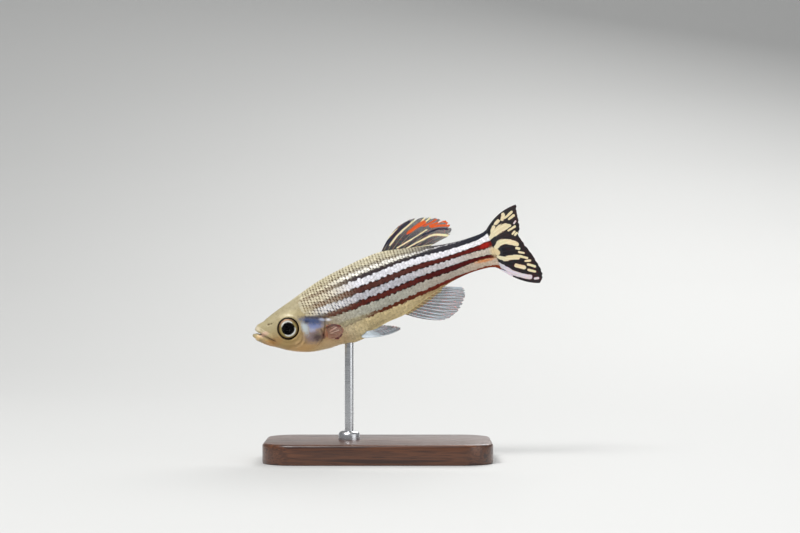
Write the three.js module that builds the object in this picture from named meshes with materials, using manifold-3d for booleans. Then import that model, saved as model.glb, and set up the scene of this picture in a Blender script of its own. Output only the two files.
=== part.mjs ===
// A zebra danio, life-size at 46 mm from snout to tail tips, nose-down on a small display stand.
// Millimetres, +Z up. The origin is the centre of the base's underside. The fish looks along -X,
// and its left flank faces -Y.
//
// The fish is laid out in a frame of its own: x runs from the mouth to the tail, z is up from the
// line of the mouth, y is across. That frame is then pitched nose-down and set over the base.
import * as THREE from "three";
import { mergeVertices } from "three/addons/utils/BufferGeometryUtils.js";
import Module from "manifold-3d";

const wasm = await Module();
wasm.setup();

// Driving dimensions, in millimetres
const PITCH = THREE.MathUtils.degToRad(21); // nose-down tilt of the body
const MOUTH_X = -19.7; // where the mouth hangs over the base
const MOUTH_Z = 20.1;
const GAP = 0.3; // clearance between touching pieces
const FAR = 9; // beyond the body on every side, for blocks that cut right across it
const SLIVER = 0.012; // edges and steps smaller than this are closed up in a finished piece

// Stations along the body: distance from the mouth, height of the back, height of the belly, half width
const STATIONS = {
  jawTip: [-0.25, -0.4, -0.6, 0.1],
  jawRim: [0.0, -0.1, -1.25, 0.62],
  lip: [0.42, 0.28, -1.72, 0.98],
  snout: [0.78, 0.8, -2.1, 1.16],
  lipCrease: [1.5, 1.14, -2.73, 1.42],
  nostril: [2.5, 1.4, -3.4, 1.74],
  eyeFront: [4.0, 1.86, -4.48, 2.1],
  eye: [5.6, 2.3, -5.36, 2.36],
  cheek: [7.6, 2.82, -6.12, 2.62],
  gillCover: [10.4, 3.55, -6.58, 2.95],
  breast: [12.3, 3.98, -6.66, 3.12],
  belly: [14.4, 4.32, -7.1, 3.26],
  pelvis: [16.4, 4.54, -7.0, 3.28],
  behindPelvis: [18.4, 4.72, -6.38, 3.18],
  vent: [20.4, 4.86, -5.98, 2.98],
  dorsalFront: [23.3, 4.82, -5.84, 2.66],
  midFins: [26.4, 4.16, -5.04, 2.22],
  finsRear: [29.5, 3.3, -4.24, 1.78],
  stalkFront: [32.6, 2.46, -3.6, 1.4],
  stalk: [35.6, 1.97, -3.4, 1.1],
  stalkRear: [38.2, 1.82, -3.62, 0.86],
  tailCorners: [39.45, 1.86, -3.98, 0.66],
  tailBase: [40.3, 2.1, -4.75, 0.48],
};
const WIDEST = 0.55; // share of the depth, up from the belly, where the body is widest
const HEAD_SQUARENESS = 2.25; // exponent of the cross-section's curve: 2 is an ellipse
const TAIL_SQUARENESS = 2.0;

const BODY_SIDES = 32;
const THINNEST = 0.02; // least half width of a cross-section
const NOSE_RINGS = [0, 0.08, 0.25, 0.45]; // first cross-sections, measured from the tip of the jaw
const NOSE_END = 0.7;
const NOSE_TIP = 0.03; // how far the closing point stands ahead of the first cross-section
const RING_STEPS = [[12, 0.5], [30, 0.95], [39.7, 1.2]]; // up to this x, cross-sections this far apart

// Where the body is parted: paths of [x, z] in the fish's frame
const HEAD_SEAM = [
  [8.9, 6.0], [8.6, 3.3], [8.05, 1.6], [8.3, 0.15], [9.4, -0.45], [10.8, -0.75], [11.65, -1.6],
  [11.3, -2.7], [10.7, -3.75], [10.35, -4.75], [10.85, -5.75], [11.9, -6.4], [12.5, -8.2],
];
const STALK_SEAM = [[30.7, 6.0], [30.5, 0], [30.7, -6.5]];
const MOUTH_CLEFT = [[-0.9, 0.2], [0.55, -0.1], [1.05, -0.62], [1.7, -1.2], [2.3, -1.8], [2.85, -2.45]];
const JAW_REAR = [[2.85, -2.45], [3.0, -3.2], [3.1, -5.6]];
const CLEFT_WIDTH = [0.5, 0.44, 0.34, 0.3, 0.3, 0.3];
const LIP_RADIUS = 0.3;
const LIP_SINK = 0.08; // how far the middle of a lip lies under the skin
const LIP_SIDES = 6;

const UPPER_LIP = [[0.66, 0.36], [0.98, 0.02], [1.42, -0.44], [2.0, -1.04], [2.6, -1.74], [3.05, -2.3]];
const LOWER_LIP = [[-0.06, -0.42], [0.3, -0.66], [0.8, -1.06], [1.36, -1.62], [1.98, -2.22], [2.5, -2.76]];
const EYE = {
  x: 5.45, z: -1.28, radius: 1.72,
  apex: 2.62, rim: 2.1, back: 0.95, // distances of the dome's top, its edge and the flat back from the middle
  backShare: 0.82, shoulder: 0.35, // the back's radius as a share, and how far above it the eye is full
  domeSteps: 5, sides: 24,
};
const PIT_SIDES = 10;
const NOSTRILS = [[2.72, 0.42, 0.25], [3.16, 0.36, 0.2]]; // x, z and radius of each pit
const GILL_OUTLINE = [
  [7.7, -0.75], [8.6, -0.66], [9.8, -0.72], [10.85, -1.1], [11.3, -1.85], [10.95, -2.85],
  [10.4, -3.85], [9.75, -4.75], [8.75, -5.3], [7.7, -5.2], [7.15, -4.1], [7.3, -2.2],
];
const GILL_PROUD = 0.14;
const GILL_DEPTH = 0.45;

const FIN_THICKNESS = [[0, 0.62], [0.8, 0.52], [1, 0.3]]; // membrane, from its root to its free edge
const RAY_PROUD = 0.13; // how far a ray stands out from the membrane on each face
const RAY_TAPER = 0.6; // share of that height lost by the ray's tip
const RAY_STRIP = [0, 0.36, 0.64]; // shares of a ray's strip: the valley, then the crest's two edges
const SLOPE_STEP = 1e-3; // share of a fin over which its slope is measured
const ROOT_SINK = 0.9; // how far a fin is drawn into the body before it is trimmed

const STAND = {
  length: 36, width: 22, thickness: 3.2, corner: 5, bevel: 0.5,
  rodX: -4.6, rodRadius: 0.7, collarRadius: 1.7, collarHeight: 1.4,
  collarStraight: 0.6, collarNeck: 0.72, // shares of the collar's height and radius where it starts to taper
  roundSides: 24,
};

// Colours, roughness and metalness
const FINISH = {
  head: ["#c9bb92", 0.4, 0.15],
  jaw: ["#dcae74", 0.4, 0.1],
  gillCover: ["#aeb6cf", 0.3, 0.35],
  flank: ["#d9d4cf", 0.35, 0.3],
  stalk: ["#8e2a22", 0.35, 0.2],
  eye: ["#1a1510", 0.12, 0.0],
  dorsalFin: ["#d98b4e", 0.5, 0.0],
  clearFin: ["#c9d3dc", 0.5, 0.0],
  tailFin: ["#e6dcae", 0.5, 0.0],
  pectoralFin: ["#b9735c", 0.5, 0.0],
  base: ["#4a3020", 0.5, 0.0],
  steel: ["#b8bbc0", 0.3, 0.9],
};

// A smooth curve of a value through [x, value] knots, with the slope at each knot set by its neighbours.
function smooth(knots, x) {
  const last = knots.length - 1;
  const i = Math.min(Math.max(knots.findIndex((k) => k[0] >= x) - 1, 0), last - 1);
  const k = x >= knots[last][0] ? last - 1 : i;
  const slope = (a, b) => (knots[b][1] - knots[a][1]) / (knots[b][0] - knots[a][0]);
  const at = (j) => slope(Math.max(j - 1, 0), Math.min(j + 1, last));
  const span = knots[k + 1][0] - knots[k][0];
  const t = THREE.MathUtils.clamp((x - knots[k][0]) / span, 0, 1);
  const rise = knots[k + 1][1] - knots[k][1];
  const [m0, m1] = [at(k) * span, at(k + 1) * span];
  return knots[k][1] + t * (m0 + t * (3 * rise - 2 * m0 - m1 + t * (m0 + m1 - 2 * rise)));
}

const LANDMARKS = Object.values(STATIONS);
const column = (c) => LANDMARKS.map((s) => [s[0], s[c]]);
const BACK = column(1);
const BELLY = column(2);
const HALF_WIDTH = column(3);
const FRONT = LANDMARKS[0][0];
const REAR = LANDMARKS[LANDMARKS.length - 1][0];

// One cross-section of the body at x, grown outwards by grow.
function section(x, grow) {
  const back = smooth(BACK, x) + grow;
  const belly = smooth(BELLY, x) - grow;
  const half = Math.max(smooth(HALF_WIDTH, x) + grow, THINNEST);
  const middle = belly + WIDEST * (back - belly);
  const power = 2 / THREE.MathUtils.mapLinear(x, FRONT, REAR, HEAD_SQUARENESS, TAIL_SQUARENESS);
  const bent = (v) => Math.sign(v) * Math.abs(v) ** power;
  const ring = [];
  for (let k = 0; k < BODY_SIDES; k++) {
    const turn = (2 * Math.PI * k) / BODY_SIDES;
    const up = bent(Math.cos(turn));
    ring.push([half * bent(Math.sin(turn)), middle + up * (up > 0 ? back - middle : middle - belly)]);
  }
  return { ring, middle };
}

// Distances of the cross-sections, closer together in the head.
function ringPlaces() {
  const places = NOSE_RINGS.map((ahead) => FRONT + ahead);
  let x = FRONT + NOSE_END;
  for (const [end, step] of RING_STEPS) {
    for (; x < end; x += step) places.push(x);
  }
  places.push(REAR);
  return places;
}

// The whole body as one closed loft, grown outwards by grow on every side.
function bodyGeometry(grow = 0) {
  const points = [];
  const faces = [];
  const places = ringPlaces();
  const last = places.length - 1;
  places.forEach((x, i) => {
    const { ring } = section(x, grow);
    const shift = i === 0 ? -grow : i === last ? grow : 0;
    ring.forEach(([y, z]) => points.push(x + shift, y, z));
  });
  const cap = (i, shift) => {
    points.push(places[i] + shift, 0, section(places[i], grow).middle);
    return points.length / 3 - 1;
  };
  const nose = cap(0, -grow - NOSE_TIP);
  const tail = cap(last, grow);
  for (let k = 0; k < BODY_SIDES; k++) {
    const n = (k + 1) % BODY_SIDES;
    faces.push(nose, k, n);
    faces.push(tail, last * BODY_SIDES + n, last * BODY_SIDES + k);
    for (let i = 0; i < last; i++) {
      const a = i * BODY_SIDES;
      const b = a + BODY_SIDES;
      faces.push(a + k, b + k, b + n, a + k, b + n, a + n);
    }
  }
  return new THREE.BufferGeometry()
    .setAttribute("position", new THREE.BufferAttribute(new Float32Array(points), 3))
    .setIndex(faces);
}

// A three.js geometry as a manifold-3d solid, turned the right way out.
function solid(geometry) {
  const bare = geometry.clone();
  bare.deleteAttribute("normal");
  bare.deleteAttribute("uv");
  const merged = mergeVertices(bare, 1e-4);
  const build = (triVerts) =>
    new wasm.Manifold(
      new wasm.Mesh({ numProp: 3, vertProperties: merged.attributes.position.array, triVerts }),
    );
  const triVerts = new Uint32Array(merged.index.array);
  const made = build(triVerts);
  if (made.volume() >= 0) return made;
  for (let i = 0; i < triVerts.length; i += 3) {
    [triVerts[i + 1], triVerts[i + 2]] = [triVerts[i + 2], triVerts[i + 1]];
  }
  return build(triVerts);
}

const byVolume = (piece) => piece.decompose().sort((a, b) => b.volume() - a.volume());
const largest = (piece) => byVolume(piece)[0];

// A smooth plane path through [x, z] points.
function path(points) {
  const curve = new THREE.CatmullRomCurve3(points.map(([x, z]) => new THREE.Vector3(x, 0, z)));
  return (t) => curve.getPoint(t);
}

// A closed outline of [x, z] corners as a block that runs from y0 to y1.
function block(corners, y0, y1) {
  const shape = new THREE.Shape(corners.map(([x, z]) => new THREE.Vector2(x, z)));
  const geometry = new THREE.ExtrudeGeometry(shape, { depth: y1 - y0, bevelEnabled: false });
  return solid(geometry.rotateX(Math.PI / 2).translate(0, y1, 0));
}

// A thin wall along a path, right across the fish: what parts two pieces.
function seam(points, widths, steps = 26) {
  const along = path(points);
  const left = [];
  const right = [];
  for (let i = 0; i <= steps; i++) {
    const t = i / steps;
    const here = along(t);
    const ahead = along(Math.min(t + 0.01, 1)).sub(along(Math.max(t - 0.01, 0))).normalize();
    const j = t * (widths.length - 1);
    const k = Math.min(Math.floor(j), widths.length - 2);
    const half = THREE.MathUtils.lerp(widths[k], widths[k + 1], j - k) / 2;
    left.push([here.x - ahead.z * half, here.z + ahead.x * half]);
    right.unshift([here.x + ahead.z * half, here.z - ahead.x * half]);
  }
  return block([...left, ...right], -FAR, FAR);
}

// A smooth closed outline through [x, z] corners, moved outwards by grow.
function closedOutline(corners, grow = 0, steps = 36) {
  const curve = new THREE.CatmullRomCurve3(
    corners.map(([x, z]) => new THREE.Vector3(x, 0, z)),
    true,
  );
  const centre = corners.reduce((sum, [x, z]) => [sum[0] + x, sum[1] + z], [0, 0]);
  const middle = new THREE.Vector3(centre[0], 0, centre[1]).divideScalar(corners.length);
  return Array.from({ length: steps }, (_, i) => {
    const here = curve.getPoint(i / steps);
    const out = here.clone().sub(middle).normalize();
    return [here.x + out.x * grow, here.z + out.z * grow];
  });
}

// The eye: a domed disc turned about the y axis, grown by grow for its socket.
function eyeSolid(side, grow = 0) {
  const radius = EYE.radius + grow;
  const height = EYE.apex - EYE.rim + grow;
  const profile = [
    new THREE.Vector2(0, EYE.back - grow),
    new THREE.Vector2(radius * EYE.backShare, EYE.back - grow),
    new THREE.Vector2(radius, EYE.back + EYE.shoulder),
  ];
  for (let i = 0; i < EYE.domeSteps; i++) {
    const turn = (i / EYE.domeSteps) * (Math.PI / 2);
    profile.push(new THREE.Vector2(radius * Math.cos(turn), EYE.rim + height * Math.sin(turn)));
  }
  profile.push(new THREE.Vector2(0, EYE.rim + height));
  const geometry = new THREE.LatheGeometry(profile, EYE.sides);
  if (side < 0) geometry.rotateX(Math.PI);
  return solid(geometry.translate(EYE.x, 0, EYE.z));
}

// The nostrils' pits, as balls that dent the snout.
function nostrilPits() {
  return NOSTRILS.flatMap(([x, z, radius]) =>
    [1, -1].map((side) => {
      const ball = new THREE.SphereGeometry(radius, PIT_SIDES, PIT_SIDES - 2);
      return solid(ball.translate(x, side * flankAt(x, z), z));
    }),
  );
}

// A lip: a bead laid along the jaw's edge from one corner of the mouth round the tip to the other.
function lipBead(points) {
  const corner = points.length - 1;
  const onFlank = (side) => ([x, z], i) => {
    const sink = i === corner - 1 ? LIP_RADIUS : LIP_SINK;
    return new THREE.Vector3(x, side * (flankAt(x, z) - sink), z);
  };
  const rear = points.slice(1);
  const [tipX, tipZ] = points[0];
  const route = [
    ...rear.map(onFlank(-1)).reverse(),
    new THREE.Vector3(tipX, 0, tipZ),
    ...rear.map(onFlank(1)),
  ];
  const round = new THREE.Shape(
    Array.from({ length: LIP_SIDES }, (_, i) => {
      const turn = (2 * Math.PI * i) / LIP_SIDES;
      return new THREE.Vector2(LIP_RADIUS * Math.cos(turn), LIP_RADIUS * Math.sin(turn));
    }),
  );
  const extrudePath = new THREE.CatmullRomCurve3(route);
  return solid(new THREE.ExtrudeGeometry(round, { steps: 18, extrudePath, bevelEnabled: false }));
}

// Half width of the body at a point of its side view.
function flankAt(x, z) {
  const back = smooth(BACK, x);
  const belly = smooth(BELLY, x);
  const middle = belly + WIDEST * (back - belly);
  const power = THREE.MathUtils.mapLinear(x, FRONT, REAR, HEAD_SQUARENESS, TAIL_SQUARENESS);
  const share = Math.abs(z > middle ? (z - middle) / (back - middle) : (middle - z) / (middle - belly));
  return smooth(HALF_WIDTH, x) * Math.max(1 - share ** power, 0) ** (1 / power);
}

function finThickness(v) {
  const [root, thin, edge] = FIN_THICKNESS;
  const [a, b] = v < thin[0] ? [root, thin] : [thin, edge];
  return THREE.MathUtils.mapLinear(v, a[0], b[0], a[1], b[1]);
}

// A fin as one closed membrane between a root and a free edge. Each ray is a ridge in its surface.
// root, tip and bow give, for u from the first ray to the last, the two ends and how far it arches.
function finSolid({ rays, rows, root, tip, bow, notch }) {
  const across = RAY_STRIP.length;
  const columns = rays * across;
  const place = (u, v) => {
    const [a, c] = [root(u), tip(u)];
    const b = a.clone().add(c).multiplyScalar(0.5).add(bow(u));
    return a.multiplyScalar((1 - v) ** 2).addScaledVector(b, 2 * v * (1 - v)).addScaledVector(c, v * v);
  };
  const points = [];
  const faces = [];
  for (const face of [1, -1]) {
    for (let i = 0; i <= columns; i++) {
      const u = (Math.floor(i / across) + RAY_STRIP[i % across]) / rays;
      const crest = i % across === 0 ? 0 : 1;
      const reach = 1 - notch * (1 - crest);
      for (let j = 0; j <= rows; j++) {
        const v = (j / rows) * reach;
        const du = place(Math.min(u + SLOPE_STEP, 1), v).sub(place(Math.max(u - SLOPE_STEP, 0), v));
        const dv = place(u, Math.min(v + SLOPE_STEP, 1)).sub(place(u, Math.max(v - SLOPE_STEP, 0)));
        const normal = du.cross(dv).normalize();
        const taper = j / rows;
        const half = finThickness(taper) / 2 + crest * RAY_PROUD * (1 - RAY_TAPER * taper);
        const p = place(u, v).addScaledVector(normal, face * half);
        points.push(p.x, p.y, p.z);
      }
    }
  }
  const index = (face, i, j) => (face * (columns + 1) + i) * (rows + 1) + j;
  for (let i = 0; i < columns; i++) {
    for (let j = 0; j < rows; j++) {
      const [a, b, c, d] = [[i, j], [i + 1, j], [i + 1, j + 1], [i, j + 1]];
      const front = [a, b, c, d].map(([p, q]) => index(0, p, q));
      const rear = [a, b, c, d].map(([p, q]) => index(1, p, q));
      faces.push(front[0], front[1], front[2], front[0], front[2], front[3]);
      faces.push(rear[0], rear[2], rear[1], rear[0], rear[3], rear[2]);
    }
  }
  const border = [];
  for (let i = 0; i < columns; i++) border.push([[i, 0], [i + 1, 0]]);
  for (let j = 0; j < rows; j++) border.push([[columns, j], [columns, j + 1]]);
  for (let i = columns; i > 0; i--) border.push([[i, rows], [i - 1, rows]]);
  for (let j = rows; j > 0; j--) border.push([[0, j], [0, j - 1]]);
  for (const [p, q] of border) {
    const [a, b] = [index(0, ...p), index(0, ...q)];
    const [c, d] = [index(1, ...q), index(1, ...p)];
    faces.push(a, c, b, a, d, c);
  }
  return solid(
    new THREE.BufferGeometry()
      .setAttribute("position", new THREE.BufferAttribute(new Float32Array(points), 3))
      .setIndex(faces),
  );
}

// A curve through points, each [x, y, z] or [x, z] in the middle plane.
function through(points) {
  const curve = new THREE.CatmullRomCurve3(
    points.map((p) => (p.length === 2 ? new THREE.Vector3(p[0], 0, p[1]) : new THREE.Vector3(...p))),
  );
  return (u) => curve.getPoint(u);
}

// How far a ray arches, blended from the first ray to the last.
function arch(first, last) {
  const [a, b] = [new THREE.Vector3(...first), new THREE.Vector3(...last)];
  return (u) => a.clone().lerp(b, u);
}

const sunk = (points, dx, dz) => through(points.map(([x, z]) => [x + dx, z + dz]));

const FINS = {
  fin_dorsal: {
    finish: "dorsalFin", rays: 9, rows: 6, notch: 0.09,
    root: sunk([[23.3, 4.86], [25.0, 4.5], [27.0, 3.98], [29.3, 3.34]], -0.55, -ROOT_SINK),
    tip: through([
      [27.9, 0, 7.75], [29.7, 0.1, 7.95], [31.2, 0.2, 7.62], [32.6, 0.25, 7.2], [33.9, 0.3, 6.4],
      [34.95, 0.25, 5.6], [35.25, 0.15, 4.7], [35.0, 0.1, 3.75], [34.2, 0.05, 3.25],
    ]),
    bow: arch([-0.1, 0.2, 1.1], [0.1, 0.1, 0.2]),
  },
  fin_anal: {
    finish: "clearFin", rays: 12, rows: 5, notch: 0.05,
    root: sunk([[23.0, -5.9], [25.3, -5.35], [27.5, -4.8], [29.7, -4.2]], -0.5, ROOT_SINK),
    tip: through([
      [28.7, 0, -8.85], [29.9, 0.1, -8.85], [31.0, 0.15, -8.55], [32.0, 0.2, -8.0], [32.75, 0.2, -7.3],
      [33.35, 0.2, -6.55], [33.6, 0.15, -5.85], [33.6, 0.1, -5.3], [33.4, 0, -5.0],
    ]),
    bow: arch([-0.1, 0.1, -0.85], [0.1, 0.1, 0]),
  },
  fin_tail: {
    finish: "tailFin", rays: 18, rows: 6, notch: 0.04,
    root: through([[39.6, 1.5], [39.75, 0.3], [39.75, -1.0], [39.75, -2.5], [39.6, -3.9]]),
    tip: through([
      [46.2, 0, 4.15], [45.8, 0.1, 3.0], [45.6, 0.15, 1.6], [45.3, 0.2, 0.4], [44.75, 0.2, -0.5],
      [44.95, 0.15, -1.5], [45.4, 0.1, -3.2], [45.85, 0, -5.0], [46.1, -0.1, -6.7], [46.0, -0.1, -8.0],
      [45.2, -0.1, -8.85],
    ]),
    bow: arch([-0.3, 0.1, 1.55], [-0.2, -0.1, -1.5]),
  },
  fin_pelvic: {
    finish: "clearFin", rays: 8, rows: 5, notch: 0.04, paired: true,
    root: through([[15.8, 2.0, -6.8], [15.85, 1.6, -6.5], [16.0, 1.15, -6.15], [16.1, 0.7, -5.85]]),
    tip: through([[22.1, 3.0, -7.72], [21.4, 3.4, -7.15], [20.3, 3.6, -6.6], [19.2, 3.5, -6.1]]),
    bow: arch([0.2, 0.9, -0.9], [0.1, 1.0, -0.5]),
  },
  fin_pectoral: {
    finish: "pectoralFin", rays: 10, rows: 5, notch: 0.04, paired: true,
    root: through([[10.9, 2.1, -3.3], [10.9, 2.0, -3.75], [10.85, 1.9, -4.25], [10.8, 1.8, -4.75]]),
    tip: through([
      [12.2, 6.9, -2.9], [13.3, 7.5, -3.5], [13.75, 7.3, -4.3], [13.3, 6.7, -5.1], [12.4, 5.7, -5.65],
    ]),
    bow: arch([-0.5, 0.5, 0.15], [-0.4, 0.3, -0.1]),
  },
};

const group = new THREE.Group();
const fish = new THREE.Group();
fish.position.set(MOUTH_X, 0, MOUTH_Z);
fish.rotation.y = -PITCH;
fish.updateMatrix();
group.add(fish);

// Adds a finished piece under its name, with the slivers its cuts left closed up.
function show(parent, name, piece, finish) {
  const made = piece.asOriginal().simplify(SLIVER).getMesh();
  const geometry = new THREE.BufferGeometry()
    .setAttribute("position", new THREE.BufferAttribute(made.vertProperties, 3))
    .setIndex(new THREE.BufferAttribute(made.triVerts, 1));
  geometry.computeVertexNormals();
  const [color, roughness, metalness] = FINISH[finish];
  const material = new THREE.MeshStandardMaterial({ color, roughness, metalness });
  const mesh = new THREE.Mesh(geometry, material);
  mesh.name = name;
  parent.add(mesh);
}

const whole = solid(bodyGeometry()).add(lipBead(UPPER_LIP)).add(lipBead(LOWER_LIP));
const clearOfBody = solid(bodyGeometry(GAP));
const sides = [["left", -1], ["right", 1]];

// The body is parted at the gills and behind the fins, and the jaw from the head at the mouth.
function partBody() {
  const parted = whole.subtract(seam(HEAD_SEAM, [GAP, GAP])).subtract(seam(STALK_SEAM, [GAP, GAP]));
  const [trunk, head, stalk] = byVolume(parted);
  const cleft = seam(MOUTH_CLEFT, CLEFT_WIDTH).add(seam(JAW_REAR, [GAP, GAP]));
  const [skull, jaw] = byVolume(head.subtract(cleft));
  return { trunk, stalk, skull, jaw };
}

// Each gill cover is a plate that follows the cheek, let into the head with a gap all round.
function gillCovers(skull) {
  const outer = solid(bodyGeometry(GILL_PROUD));
  const inner = solid(bodyGeometry(-GILL_DEPTH));
  const floor = solid(bodyGeometry(-GILL_DEPTH - GAP));
  const covers = {};
  let head = skull;
  for (const [side, sign] of sides) {
    const reach = sign < 0 ? [-FAR, -1] : [1, FAR];
    const plate = block(closedOutline(GILL_OUTLINE), ...reach);
    const recess = block(closedOutline(GILL_OUTLINE, GAP), ...reach);
    covers[side] = largest(outer.subtract(inner).intersect(plate));
    head = head.subtract(recess.subtract(floor));
  }
  return { head: largest(head), covers };
}

const { trunk, stalk, skull, jaw } = partBody();
const { head: coveredHead, covers } = gillCovers(skull);
let head = coveredHead;
for (const [, sign] of sides) head = head.subtract(eyeSolid(sign, GAP));
for (const pit of nostrilPits()) head = head.subtract(pit);

show(fish, "head", largest(head), "head");
show(fish, "jaw", jaw, "jaw");
show(fish, "trunk", trunk, "flank");
show(fish, "tail_stalk", stalk, "stalk");
for (const [side, sign] of sides) {
  show(fish, `eye_${side}`, eyeSolid(sign), "eye");
  show(fish, `gill_cover_${side}`, covers[side], "gillCover");
}
const [ahead, tailEnd] = [REAR - FAR, REAR + GAP];
const aheadOfTail = block([[ahead, -FAR], [tailEnd, -FAR], [tailEnd, FAR], [ahead, FAR]], -FAR, FAR);
for (const [name, fin] of Object.entries(FINS)) {
  const ready = name === "fin_tail" ? finSolid(fin).subtract(aheadOfTail) : finSolid(fin);
  const trimmed = largest(ready.subtract(clearOfBody));
  if (!fin.paired) {
    show(fish, name, trimmed, fin.finish);
    continue;
  }
  show(fish, `${name}_right`, trimmed, fin.finish);
  show(fish, `${name}_left`, trimmed.mirror([0, 1, 0]), fin.finish);
}

// The stand: a bevelled base, a collar and one rod that carries the belly.
function baseSolid() {
  const { length, width, thickness, corner, bevel } = STAND;
  const [a, b] = [length / 2 - bevel, width / 2 - bevel];
  const r = corner - bevel;
  const shape = new THREE.Shape()
    .moveTo(-a + r, -b).lineTo(a - r, -b).absarc(a - r, -b + r, r, -Math.PI / 2, 0)
    .lineTo(a, b - r).absarc(a - r, b - r, r, 0, Math.PI / 2)
    .lineTo(-a + r, b).absarc(-a + r, b - r, r, Math.PI / 2, Math.PI)
    .lineTo(-a, -b + r).absarc(-a + r, -b + r, r, Math.PI, Math.PI * 1.5);
  const geometry = new THREE.ExtrudeGeometry(shape, {
    depth: thickness - 2 * bevel, bevelThickness: bevel, bevelSize: bevel, bevelSegments: 2, curveSegments: 5,
  });
  return solid(geometry.translate(0, 0, bevel));
}

// The rod: an upright cut off where it meets the belly; what stands above the fish is left out.
function rodSolid() {
  const { rodX, rodRadius, roundSides, thickness } = STAND;
  const foot = thickness + GAP;
  const height = MOUTH_Z - foot;
  const upright = new THREE.CylinderGeometry(rodRadius, rodRadius, height, roundSides).rotateX(Math.PI / 2);
  const bodyInPlace = solid(bodyGeometry(GAP).applyMatrix4(fish.matrix));
  const parts = solid(upright.translate(rodX, 0, foot + height / 2)).subtract(bodyInPlace).decompose();
  return parts.sort((a, b) => a.boundingBox().min[2] - b.boundingBox().min[2])[0];
}

function collarSolid() {
  const { rodX, rodRadius, collarRadius, collarHeight, collarStraight, collarNeck, roundSides } = STAND;
  const inner = rodRadius + GAP;
  const profile = [
    [inner, GAP], [collarRadius, GAP], [collarRadius, collarHeight * collarStraight],
    [collarRadius * collarNeck, collarHeight], [inner, collarHeight], [inner, GAP],
  ].map(([r, z]) => new THREE.Vector2(r, z));
  const turned = new THREE.LatheGeometry(profile, roundSides).rotateX(Math.PI / 2);
  return solid(turned.translate(rodX, 0, STAND.thickness));
}

show(group, "stand_base", baseSolid(), "base");
show(group, "stand_collar", collarSolid(), "steel");
show(group, "stand_rod", rodSolid(), "steel");

export default group;
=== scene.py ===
"""Looks of a life-size zebra danio on a display stand: skin, scales, eyes, fins, stand and studio.

The fish is modelled in a frame of its own, in millimetres: x runs from the mouth to the tail, y is
across with the left flank on the minus side, and z is up from the line of the mouth. A finished piece
is then turned nose-down and set in place over the stand's base, in metres.
"""

import logging
import math
from collections.abc import Callable
from dataclasses import dataclass, field
from enum import Enum

import bpy
import numpy as np
from mathutils import Matrix, Vector


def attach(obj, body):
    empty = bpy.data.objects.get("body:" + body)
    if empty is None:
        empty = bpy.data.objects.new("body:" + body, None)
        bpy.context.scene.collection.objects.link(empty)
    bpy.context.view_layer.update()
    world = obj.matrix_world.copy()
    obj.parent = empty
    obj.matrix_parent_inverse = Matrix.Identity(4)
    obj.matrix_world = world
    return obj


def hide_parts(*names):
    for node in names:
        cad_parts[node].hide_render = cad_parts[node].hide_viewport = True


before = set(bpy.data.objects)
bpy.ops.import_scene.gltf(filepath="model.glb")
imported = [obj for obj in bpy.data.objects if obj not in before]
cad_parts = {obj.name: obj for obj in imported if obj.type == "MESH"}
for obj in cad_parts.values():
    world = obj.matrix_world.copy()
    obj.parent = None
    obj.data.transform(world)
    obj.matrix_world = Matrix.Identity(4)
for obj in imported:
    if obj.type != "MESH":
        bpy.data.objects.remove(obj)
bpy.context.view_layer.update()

MM = 0.001
TAU = 2.0 * math.pi
ROOT = "root"
SEED = 46
# Metres within which two heights count as the same, and a length that keeps a division from failing.
NEAR = 1e-6
TINY = 1e-12
# Just under 1, so that the last place on a grid still has a next point.
BELOW_ONE = 0.99999
# The eye's middle and radius in the side view, in millimetres.
EYE_X, EYE_Z, EYE_RADIUS = 5.45, -1.28, 1.7
log = logging.getLogger("danio")

# Short names for the types that the hints use most. A Value is a socket to link, a plain number or
# vector, or a colour's screen code.
Array = np.ndarray
Piece = bpy.types.Object
Material = bpy.types.Material
Tree = bpy.types.NodeTree
Node = bpy.types.Node
Socket = bpy.types.NodeSocket
Value = Socket | str | float | tuple


class Side(Enum):
    """The two flanks of the fish, by the sign of y."""

    LEFT = -1
    RIGHT = 1


def blend(low: float, high: float, value: Array) -> Array:
    """Smooth step of value from 0 at low to 1 at high."""
    t = np.clip((value - low) / (high - low), 0.0, 1.0)
    return t * t * (3.0 - 2.0 * t)


def bump(distance: Array, width: float) -> Array:
    """A bell of height 1 that falls off over width."""
    return np.exp(-((distance / width) ** 2))


def smooth(knots: Array, values: Array, at: Array) -> Array:
    """A smooth curve through knots, each knot's slope set by its neighbours.

    Args:
        knots: rising places of the known values.
        values: the known values.
        at: places to read.

    Returns:
        The values at those places, held level past both ends.
    """
    at = np.clip(at, knots[0], knots[-1])
    slopes = np.empty_like(values)
    slopes[1:-1] = (values[2:] - values[:-2]) / (knots[2:] - knots[:-2])
    slopes[0] = (values[1] - values[0]) / (knots[1] - knots[0])
    slopes[-1] = (values[-1] - values[-2]) / (knots[-1] - knots[-2])
    i = np.clip(np.searchsorted(knots, at, side="left") - 1, 0, len(knots) - 2)
    span = knots[i + 1] - knots[i]
    t = (at - knots[i]) / span
    rise = values[i + 1] - values[i]
    m0, m1 = slopes[i] * span, slopes[i + 1] * span
    return values[i] + t * (m0 + t * (3 * rise - 2 * m0 - m1 + t * (m0 + m1 - 2 * rise)))


def distance_to_path(points: Array, path: Array) -> tuple[Array, Array]:
    """Distance of flat points to a path of straight stretches.

    Args:
        points: n places, two numbers each.
        path: the path's corners.

    Returns:
        The distances, and how far along the path, from 0 to 1, each point lies.
    """
    best = np.full(len(points), np.inf)
    along = np.zeros(len(points))
    steps = len(path) - 1
    for k in range(steps):
        a, b = path[k], path[k + 1]
        edge = b - a
        t = np.clip(((points - a) @ edge) / (edge @ edge), 0.0, 1.0)
        gap = np.linalg.norm(points - (a + t[:, None] * edge), axis=1)
        nearer = gap < best
        best[nearer] = gap[nearer]
        along[nearer] = (k + t[nearer]) / steps
    return best, along


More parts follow.
